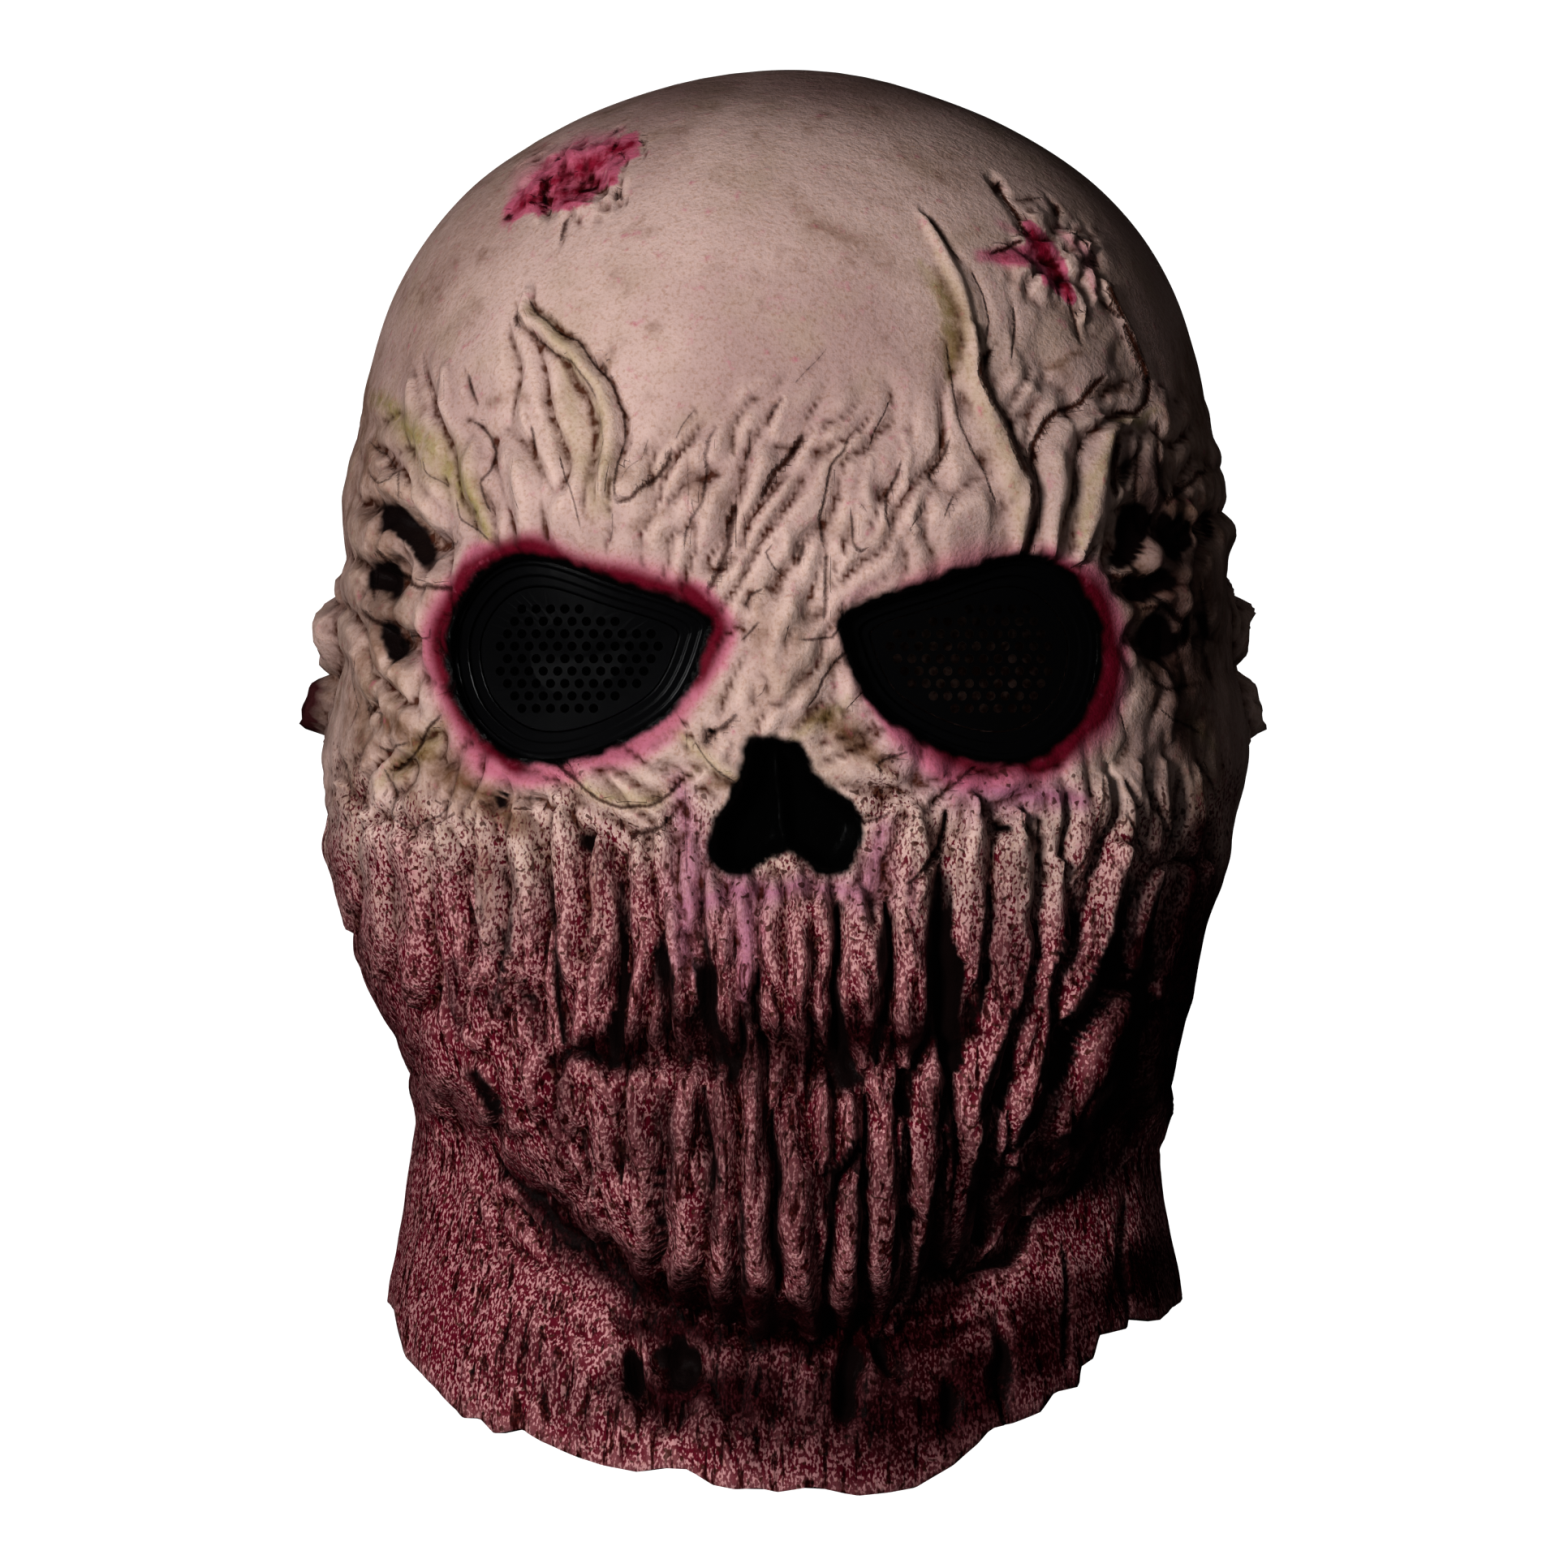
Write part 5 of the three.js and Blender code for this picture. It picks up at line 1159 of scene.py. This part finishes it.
# Dirt rubbed into the temples, cheeks and brow, and painted shade along the left edge of the crown and on
# the right temple
DIRT_AND_SHADE_STROKES = [
    # places, width, size
    ([(-94, 60), (-92, 100), (-90, 122), (-96, 160)], 34, 0.6),
    ([(-88, 106), (-86, 130), (-88, 140)], 20, 0.7),
    ([(-97, 140), (-84, 156), (-80, 166)], 20, 0.6),
    ([(-34, 101), (-26, 97)], 10, 0.5),
    ([(-66, 73), (-58, 71)], 11, 0.6),
    ([(-22, 84), (-18, 98)], 7, 0.4),
    ([(-38, 62), (-40, 67)], 6, 0.6),
    ([(2, 28), (10, 36), (20, 38)], 22, 0.5),
    ([(16, 38), (32, 46)], 16, 0.4),
    ([(26, 18), (40, 24)], 26, 0.4),
    ([(58, 66), (65, 63)], 9, 0.9),
    ([(67, 71), (77, 70)], 8, 0.8),
    ([(2, 145), (10, 143), (16, 149), (24, 155)], 14, 1.1),
    ([(34, 44), (38, 54), (37, 66)], 8, 0.9),
    ([(-88, 144), (-76, 154), (-60, 166)], 30, 1.1),
    ([(-18, 158), (-10, 158)], 8, 0.9),
    ([(90, 60), (92, 100), (90, 130), (92, 165)], 34, 0.6),
    ([(77, 98), (80, 120), (82, 140)], 20, 0.7),
    ([(-68, 168), (-66, 186)], 16, 0.6),
    ([(-45, 168), (-42, 186)], 14, 0.5),
    ([(-6, 116), (-2, 132), (-8, 146)], 24, 0.45),
    ([(-56, 18), (-74, 42), (-84, 66)], 46, 0.35),
]
# Painted shade on the temples, the mouth line and pits, the gaps of the lower face, under the jaw, down
# the neck and along the right side
SHADE_STROKES = [
    # places, width, size
    ([(-92, 98), (-84, 104), (-78, 110)], 22, 0.55),
    ([(-92, 108), (-90, 120), (-84, 130)], 20, 0.55),
    ([(80, 88), (85, 108), (86, 130), (88, 148)], 34, 0.8),
    ([(74, 78), (80, 92)], 14, 0.5),
    ([(78, 146), (84, 166), (82, 184)], 26, 0.5),
    ([(88, 180), (84, 208), (76, 236)], 24, 0.9),
    ([(-52, 218), (-20, 214), (0, 218), (20, 214), (42, 212)], 18, 1.15),
    ([(-69, 223), (-62, 236)], 9, 1),
    ([(-73, 198), (-72.4, 214)], 10, 0.75),
    ([(-58, 203), (-54, 216)], 10, 0.75),
    ([(-50, 222), (-50, 242)], 16, 0.75),
    ([(-26, 200), (-26, 216)], 14, 0.75),
    ([(-18, 196), (-18, 214)], 6, 1),
    ([(-15, 226), (-15, 246)], 9, 0.75),
    ([(-1, 224), (-1, 238)], 10, 0.62),
    ([(-62, 244), (-51, 253), (-42, 263), (-31, 271), (-12, 275), (10, 277), (30, 274),
      (50, 262)], 15, 1.15),
    ([(-34, 236), (4, 246), (30, 252)], 70, 0.55),
    ([(-36, 277), (-10, 280), (20, 283), (45, 277)], 19, 1.2),
    ([(-34, 292), (0, 296), (34, 296), (62, 284), (80, 268)], 54, 1.1),
    ([(36, 290), (62, 278), (82, 262)], 36, 1.2),
    ([(50, 250), (66, 238), (76, 218)], 34, 1.1),
    ([(34, 226), (37, 244), (34, 262)], 30, 0.95),
    ([(79, 192), (78, 210), (74, 230)], 24, 1.2),
    ([(44, 184), (52, 206)], 34, 0.5),
    ([(92, 168), (89, 200), (84, 228)], 30, 1.15),
    ([(-95, 194), (-86, 216), (-82, 240)], 20, 0.45),
    ([(-58, 282), (-44, 298)], 30, 0.4),
]
# Where the gaps between the cords are painted black, partly black paint and partly painted shade, heaviest
# on the right side
GAP_STROKES = [
    # places, width, size
    ([(-36.4, 178), (-37.4, 198), (-38, 219)], 5, 1.2),
    ([(-62, 176), (-62, 206)], 44, 0.75),
    ([(-30, 196), (-14, 206), (-10, 220)], 44, 1),
    ([(-28, 232), (-20, 250), (-4, 262)], 44, 0.55),
    ([(12, 190), (14, 222)], 36, 1.05),
    ([(12, 232), (16, 264)], 36, 0.7),
    ([(36, 182), (40, 220), (34, 262)], 40, 1.5),
    ([(72, 184), (70, 210), (60, 240)], 56, 1.7),
]

eye_edges = np.minimum(*(outline_distance(seen_across, seen_down, eye_view(side)) for side in (-1, 1)))
nose_edge = outline_distance(seen_across, seen_down, nose_loop)
near_hollow, wide_hollow = hollowness(6), hollowness(40)
level = CROWN - points[:, 2]
uneven = noise_at(points, (12, 12, 16), 2.2)
ragged = noise_at(points, (3.4, 3.4, 3.4), 5.3)
cords = strongest(chart_across, chart_down, STRANDS, round_top)
gaps = np.clip(painted(GAP_STROKES, 0.6), 0, 1) * (1 - smooth_step(0.1, 0.6, cords))
grooves = front * strongest(chart_across, chart_down, GROOVES, soft_top, 1.0)
pits = front * pitted(points)
low_face = smooth_step(166, 196, level)
crease_side, crease_shade = crease_field(CREASES, 1.9)
# Painted shade on the lower lobe of one ear
lobe = (smooth_step(-100, -104, seen_across) * smooth_step(131, 135, seen_down)
        * smooth_step(152, 147, seen_down))
masks = {
    "wash": smooth_step(0.03, 0.4, near_hollow) + 0.65 * smooth_step(0.2, 1.6, wide_hollow),
    # Near-black in the gaps between the cords, the grooves and the pits: black paint, and painted shade in
    # their depths
    "dark": np.maximum((0.45 + 0.55 * low_face) * np.maximum(gaps, 0.9 * grooves),
                       1.1 * smooth_step(0.15, 0.9, pits)),
    "ridge": smooth_step(0.03, 0.4, -near_hollow),
    "spatter": smooth_step(141, 210, level + 16 * uneven),
    "green": painted(GREEN_STROKES, 1.2),
    "lilac": painted(LILAC_STROKES, 1.2),
    "pink": 0.9 * (0.2 * front + painted(PINK_STROKES, 0.5)) * smooth_step(11, 1, eye_edges + 4 * uneven)
    + 0.8 * painted(SORE_STROKES, 1.0),
    "crimson": (0.3 * front + 0.85 * painted(CRIMSON_STROKES, 0.7))
    * smooth_step(8.0, 0.6, eye_edges + 3 * uneven),
    "wound": painted(WOUND_STROKES, 0.7),
    "flesh": painted(FLESH_STROKES, 0.7),
    "dirt_and_shade": painted(DIRT_AND_SHADE_STROKES, 1.1),
    # Painted shade: the strokes, the ear lobe, and the top of the crown towards the front
    "shade": painted(SHADE_STROKES, 0.6) + lobe
    + 0.75 * smooth_step(26, -6, level) * smooth_step(60, -60, points[:, 1]),
    "black": front * np.maximum(smooth_step(3.0, 0.0, eye_edges + ragged),
                                smooth_step(2.6, -0.8, nose_edge + 1.6 * uneven + 1.4 * ragged)),
    "crease_shade": crease_shade,
}
for name, values in masks.items():
    attribute = mesh.attributes.new(name, "FLOAT", "POINT")
    attribute.data.foreach_set("value", np.clip(values, 0, 1.2).astype(np.float32))
attribute = mesh.attributes.new("crease_side", "FLOAT", "POINT")
attribute.data.foreach_set("value", crease_side.astype(np.float32))
mesh.shade_smooth()


def linear(hex_colour):
    """Linear colour of an sRGB hex value."""
    channels = [int(hex_colour[i:i + 2], 16) / 255 for i in (1, 3, 5)]
    return [c / 12.92 if c <= 0.04045 else ((c + 0.055) / 1.055) ** 2.4 for c in channels] + [1]


def new_material(name):
    material = bpy.data.materials.new(name)
    material.use_nodes = True
    return material, material.node_tree.nodes["Principled BSDF"]


def add(material, kind, settings=None, output=0, **inputs):
    """Adds a node with its settings and inputs, values or sockets to link, and gives the
    socket of one of its outputs."""
    node = material.node_tree.nodes.new("ShaderNode" + kind)
    for key, value in (settings or {}).items():
        setattr(node, key, value)
    for key, value in inputs.items():
        socket = node.inputs[int(key[1:])] if key[1:].isdigit() else node.inputs[key]
        if isinstance(value, bpy.types.NodeSocket):
            material.node_tree.links.new(value, socket)
        else:
            socket.default_value = value
    return node.outputs[output]


# Latex paint over natural latex: soft semi-matt skin tones, airbrushed tints, a dark brown wash left in
# the hollows, sponged dark red spatter and gloss black in the holes, with painted shade under the jaw,
# down the neck, on the right side and in the gaps and creases, and a painted highlight on the ridges.
latex, latex_shader = new_material("painted_latex")
TIMES, PLUS = {"operation": "MULTIPLY"}, {"operation": "ADD"}
SMOOTH = {"interpolation_type": "SMOOTHSTEP"}
paint = {name: add(latex, "Attribute", {"attribute_name": name}, "Fac")
         for name in [*masks, "crease_side"]}


def coat(below, hex_colour, strength, blend="MIX"):
    """A coat of paint over another, as strong as its mask; a thin wash multiplies."""
    return add(latex, "Mix", {"data_type": "RGBA", "blend_type": blend}, 2, _0=strength,
               _6=below, _7=linear(hex_colour))


place = add(latex, "TexCoord", output="Object")
upright = add(latex, "Mapping", Vector=place, Scale=(1, 1, 0.55))
# Lumps of 60, 14, 3 and 0.8 mm
wide = add(latex, "TexNoise", Vector=place, Scale=1 / (60 * MM), Detail=3)
middle = add(latex, "TexNoise", Vector=place, Scale=1 / (14 * MM), Detail=3)
fine = add(latex, "TexNoise", Vector=place, Scale=1 / (3 * MM), Detail=3, Roughness=0.6)
grain = add(latex, "TexNoise", Vector=place, Scale=1 / (0.8 * MM), Detail=3, Roughness=0.6)
# Stains of 9 mm with torn edges
blotches = add(latex, "TexNoise", Vector=place, Scale=1 / (9 * MM), Detail=5, Roughness=0.6)
# Sponge marks of 0.55 mm, drawn out downwards, and patches of 16 mm in them
sponge = add(latex, "TexNoise", Vector=upright, Scale=1 / (0.55 * MM), Detail=1, Roughness=0.5)
patches = add(latex, "TexNoise", Vector=place, Scale=1 / (16 * MM), Detail=2)
# Brown flicks of 1.4 mm, and fibres 1.8 mm wide that run down the face
flicks = add(latex, "TexNoise", Vector=place, Scale=1 / (1.4 * MM), Detail=0)
fibres = add(latex, "TexNoise", Vector=add(latex, "Mapping", Vector=place, Scale=(1, 1, 0.14)),
             Scale=1 / (1.8 * MM), Detail=3, Roughness=0.6)

colour = coat(linear("#AF968F"), "#9A807B", add(latex, "MapRange", SMOOTH, Value=wide, _1=0.38, _2=0.62))
brown = add(latex, "MapRange", SMOOTH, Value=middle, _1=0.45, _2=0.75, _4=0.6)
colour = coat(colour, "#9C8678", brown)
# Lighter on the ridges: dry-brushed wear and a painted highlight
colour = coat(colour, "#CDB4A8", add(latex, "Math", TIMES, _0=paint["ridge"], _1=0.3))
broken = add(latex, "MapRange", SMOOTH, Value=fine, _1=0.3, _2=0.7, _3=0.4, _4=1.0)
stains = add(latex, "MapRange", SMOOTH, Value=add(latex, "Math", PLUS, _0=blotches, _1=add(
    latex, "Math", TIMES, _0=paint["dirt_and_shade"], _1=0.24)), _1=0.54, _2=0.8, _4=0.6)
colour = coat(colour, "#A48C74", stains, "MULTIPLY")
colour = coat(colour, "#80763F", add(latex, "Math", TIMES, _0=paint["green"], _1=add(
    latex, "Math", TIMES, _0=broken, _1=0.8)))
# Dirt, with painted shade along the left edge of the crown and on the right temple, multiplied in
colour = coat(colour, "#A49070", add(latex, "Math", TIMES, _0=paint["dirt_and_shade"], _1=broken), "MULTIPLY")
colour = coat(colour, "#A8787B", add(latex, "MapRange", SMOOTH, Value=paint["spatter"], _1=0.2, _4=0.85))
colour = coat(colour, "#986479", add(latex, "Math", TIMES, _0=paint["lilac"], _1=0.9))
colour = coat(colour, "#A45C70", add(latex, "MapRange", SMOOTH, Value=paint["pink"], _2=0.8, _4=0.9))
colour = coat(colour, "#560C1E", add(latex, "MapRange", SMOOTH, Value=paint["crimson"], _1=0.05, _2=0.9))
rough_wound = add(latex, "Math", PLUS, _0=paint["wound"], _1=add(latex, "Math", TIMES, _0=fine, _1=1.3))
colour = coat(colour, "#A4566A", add(latex, "MapRange", SMOOTH, Value=rough_wound, _1=0.75, _2=1.2))
colour = coat(colour, "#74162C", add(latex, "MapRange", SMOOTH, Value=rough_wound, _1=1.3, _2=1.85))
rough_flesh = add(latex, "Math", PLUS, _0=paint["flesh"], _1=add(latex, "Math", TIMES, _0=fine, _1=0.8))
colour = coat(colour, "#4C0611", add(latex, "MapRange", SMOOTH, Value=rough_flesh, _1=0.7, _2=1.3))
colour = coat(colour, "#E6DCD0", add(latex, "MapRange", SMOOTH, Value=grain, _1=0.45, _2=0.75), "MULTIPLY")

# Spatter: thinner where its mask is weak
bite = add(latex, "Math", PLUS, _0=sponge, _1=add(latex, "Math", TIMES, _0=paint["spatter"], _1=0.165))
bite = add(latex, "Math", PLUS, _0=bite, _1=add(latex, "Math", TIMES, _0=patches, _1=0.16))
spots = add(latex, "MapRange", SMOOTH, Value=bite, _1=0.64, _2=0.76)
spots = add(latex, "Math", TIMES, _0=spots, _1=add(
    latex, "MapRange", SMOOTH, Value=paint["spatter"], _1=0.02, _2=0.3))
# They are rubbed thin on the ridges, which also makes a painted highlight there, and where lilac was
# sprayed over them
rubbed_and_highlit = add(latex, "Math", PLUS, _0=add(latex, "Math", TIMES, _0=paint["ridge"], _1=0.28), _1=add(
    latex, "Math", TIMES, _0=paint["lilac"], _1=0.75))
spots = add(latex, "Math", TIMES, _0=spots, _1=add(latex, "MapRange", Value=rubbed_and_highlit, _3=1.0, _4=0.1))
colour = coat(colour, "#520A1C", spots)
flicks = add(latex, "MapRange", SMOOTH, Value=flicks, _1=0.68, _2=0.74)
colour = coat(colour, "#3A1A12", add(latex, "Math", TIMES, _0=flicks, _1=add(
    latex, "MapRange", SMOOTH, Value=paint["spatter"], _1=0.0, _2=0.2, _3=0.0, _4=0.85)))
streaks = add(latex, "MapRange", SMOOTH, Value=fibres, _1=0.48, _2=0.36)
colour = coat(colour, "#6E4240", add(latex, "Math", TIMES, _0=streaks, _1=paint["spatter"]), "MULTIPLY")

# Painted shade, multiplied in, a little uneven
shade = add(latex, "Math", TIMES, _0=paint["shade"], _1=add(
    latex, "MapRange", SMOOTH, Value=middle, _1=0.3, _2=0.7, _3=0.75, _4=1.1))
colour = coat(colour, "#523038", shade, "MULTIPLY")
wash = add(latex, "Math", TIMES, _0=paint["wash"], _1=broken)
colour = coat(colour, "#6E4E3E", wash, "MULTIPLY")
# Near-black in the gaps, grooves and pits: black paint and painted shade
dark = add(latex, "Math", PLUS, _0=paint["dark"], _1=add(latex, "Math", TIMES, _0=fine, _1=0.4))
colour = coat(colour, "#0E0707", add(latex, "MapRange", SMOOTH, Value=dark, _1=0.3, _2=1.05))

# Creases: painted shade in thin lines where the distance to one side passes through nothing
to_side = add(latex, "Math", {"operation": "ABSOLUTE"}, _0=paint["crease_side"])
ragged = add(latex, "Math", PLUS, _0=to_side, _1=add(latex, "Math", TIMES, _0=grain, _1=2.2))
past = add(latex, "Math", {"operation": "SUBTRACT"}, _0=ragged, _1=add(
    latex, "Math", TIMES, _0=paint["crease_shade"], _1=1.9))
crease = add(latex, "MapRange", SMOOTH, Value=past, _1=0.6, _2=-0.9)
colour = coat(colour, "#5E4034", add(latex, "Math", TIMES, _0=crease, _1=add(
    latex, "MapRange", Value=paint["crease_shade"], _1=0.5, _2=1.1, _3=0.45, _4=1.0)), "MULTIPLY")
edge = add(latex, "Math", PLUS, _0=paint["black"], _1=add(latex, "Math", TIMES, _0=fine, _1=0.5))
black = add(latex, "MapRange", SMOOTH, Value=edge, _1=0.3, _2=1.1)
colour = coat(colour, "#030303", black)
latex.node_tree.links.new(colour, latex_shader.inputs["Base Color"])

wet = add(latex, "Math", {"operation": "MAXIMUM"}, _0=black, _1=paint["flesh"])
latex.node_tree.links.new(
    add(latex, "MapRange", Value=wet, _3=0.55, _4=0.35), latex_shader.inputs["Roughness"])
# Engraved creases, fibres along the cords of flesh, and pores
cut_in = add(latex, "Math", TIMES, _0=crease, _1=-1.0)
height = add(latex, "Math", PLUS, _0=cut_in, _1=add(latex, "Math", TIMES, _0=fibres, _1=paint["spatter"]))
height = add(latex, "Math", PLUS, _0=height, _1=add(latex, "Math", TIMES, _0=grain, _1=0.35))
height = add(latex, "Math", PLUS, _0=height, _1=add(latex, "Math", TIMES, _0=fine, _1=0.7))
bump = add(latex, "Bump", Strength=0.6, Distance=0.9 * MM, Height=height)
latex.node_tree.links.new(bump, latex_shader.inputs["Normal"])
latex_shader.inputs["IOR"].default_value = 1.5

# The inside is bare latex, tan and matt from the plaster mould
bare_latex, bare_shader = new_material("bare_latex")
bare_shader.inputs["Base Color"].default_value = linear("#8C7658")
bare_shader.inputs["Roughness"].default_value = 0.7
mesh.materials.clear()
mesh.materials.append(latex)
mesh.materials.append(bare_latex)
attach(casting, "root")
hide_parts("mask_shell")

# Eye rims
# Stepped oval frames that hold the lenses, moulded in glossy black plastic and glued
# behind the latex round each eye hole.
RIM_LIP = 1.2
STEP_WIDTH = 2.4
STEP_DEPTH = 1.6
RIM_DEPTH = 6.2

gloss_plastic, gloss_shader = new_material("gloss_black_plastic")
gloss_shader.inputs["Base Color"].default_value = linear("#070708")
gloss_shader.inputs["Roughness"].default_value = 0.25


def rim_rows():
    first, second, third = (RIM_LIP + i * STEP_WIDTH for i in range(3))
    floors = [RIM_FRONT + i * STEP_DEPTH for i in range(3)]
    back = RIM_FRONT + RIM_DEPTH
    return [(-RIM_LAP, floors[0]), (first, floors[0]), (first, floors[1]), (second, floors[1]),
            (second, floors[2]), (third, floors[2]), (third, back), (-RIM_LAP, back)]


SIDE_NAMES = {-1: "right", 1: "left"}
for eye_side, side_name in SIDE_NAMES.items():
    rim = ring_block(eye_side, rim_rows(), "rim_" + side_name)
    edges = rim.modifiers.new("rounded_edges", "BEVEL")
    edges.width = 0.35 * MM
    edges.segments = 2
    edges.limit_method = "ANGLE"
    rim.data.materials.append(gloss_plastic)
    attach(rim, "root")
    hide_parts("eye_rim_" + side_name)

# Eye lenses
# Bowed plates of thin black plastic, punched with rows of small round holes that the
# wearer looks through, snapped in behind the last step of each rim.
LENS_THICKNESS = 1.2
HOLE_PITCH = 3.2
HOLE_SIZE = 2.0
HOLE_SIDES = 10
LENS_INSET = RIM_LIP + 2 * STEP_WIDTH + GAP
LENS_FRONT = RIM_FRONT + 2 * STEP_DEPTH + GAP
LENS_MARGIN = 1.6

matt_plastic, matt_shader = new_material("matt_black_plastic")
matt_shader.inputs["Base Color"].default_value = linear("#070708")
matt_shader.inputs["Roughness"].default_value = 0.3


def hole_punch(side):
    """All the pins that punch one lens, as one mesh."""
    outline = eye_view(side, LENS_INSET + LENS_MARGIN + HOLE_SIZE / 2)
    middle_across, middle_down = FACE_MIDDLE + side * EYE_SPACING / 2, EYE_DOWN
    row_step = HOLE_PITCH * math.sqrt(3) / 2
    shape = bmesh.new()
    for row in range(-8, 9):
        for column in range(-10, 11):
            across = middle_across + (column + (row % 2) / 2) * HOLE_PITCH
            down = middle_down + row * row_step
            if outline_distance(np.array(across), np.array(down), outline) > 0:
                continue
            x, y, z = base_point(*face_place(across, down))
            pin = bmesh.ops.create_cone(
                shape, cap_ends=True, segments=HOLE_SIDES, radius1=HOLE_SIZE / 2 * MM,
                radius2=HOLE_SIZE / 2 * MM, depth=THROUGH * MM)["verts"]
            bmesh.ops.rotate(
                shape, verts=pin, cent=(0, 0, 0), matrix=camera.rotation_euler.to_matrix())
            bmesh.ops.translate(shape, verts=pin, vec=Vector((x, y, z)) * MM)
    return finished_mesh("punch", shape)


for eye_side, side_name in SIDE_NAMES.items():
    lens = ring_block(
        eye_side, solid_rows(LENS_INSET, LENS_FRONT, LENS_FRONT + LENS_THICKNESS), "lens_" + side_name)
    cut(lens, hole_punch(eye_side))
    lens.data.materials.clear()
    lens.data.materials.append(matt_plastic)
    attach(lens, "root")
    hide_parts("eye_mesh_" + side_name)

# Floor and light
# A plain pale floor below the mask and white all round. A soft lamp stands on the left as
# high as the crown, a faint one on the right, a small one for the gloss, and one behind.
FLOOR_DROP = 0.35
floor_shape = bmesh.new()
bmesh.ops.create_circle(floor_shape, cap_ends=True, segments=64, radius=8)
bmesh.ops.translate(
    floor_shape, verts=floor_shape.verts, vec=(0, 0, cad_box[0][2] - FLOOR_DROP))
floor = finished_mesh("floor", floor_shape)
pale, pale_shader = new_material("pale_floor")
pale_shader.inputs["Base Color"].default_value = linear("#F4F3F1")
pale_shader.inputs["Roughness"].default_value = 0.9
pale_shader.inputs["Emission Color"].default_value = linear("#FFFFFF")
pale_shader.inputs["Emission Strength"].default_value = 1.0
floor.data.materials.append(pale)
floor.visible_diffuse = False
floor.visible_glossy = False

world = bpy.data.worlds.new("white_surround")
world.use_nodes = True
world.node_tree.nodes["Background"].inputs["Color"].default_value = (1, 1, 1, 1)
world.node_tree.nodes["Background"].inputs["Strength"].default_value = 1.0
world.cycles_visibility.diffuse = False
world.cycles_visibility.glossy = False
bpy.context.scene.world = world

LAMPS = [
    # name, place, size, watts, seen in reflections
    ("key", (-0.76, -1.58, 0.02), 0.45, 37, False),
    ("fill", (1.0, -1.9, 0.1), 1.2, 4.6, False),
    ("glint", (-1.3, -1.1, 0.3), 0.3, 2.0, True),
    ("back", (0.0, 2.2, 0.3), 1.0, 22, False),
]
TARGET = Vector((0, 0, -0.15))
for name, spot, size, watts, reflected in LAMPS:
    lamp_data = bpy.data.lights.new(name, "AREA")
    lamp_data.size = size
    lamp_data.energy = watts
    lamp = bpy.data.objects.new(name, lamp_data)
    lamp.location = spot
    lamp.visible_glossy = reflected
    lamp.rotation_euler = (TARGET - Vector(spot)).to_track_quat("-Z", "Y").to_euler()
    bpy.context.scene.collection.objects.link(lamp)

bpy.context.scene.view_settings.view_transform = "Standard"
bpy.context.scene.view_settings.look = "Medium High Contrast"
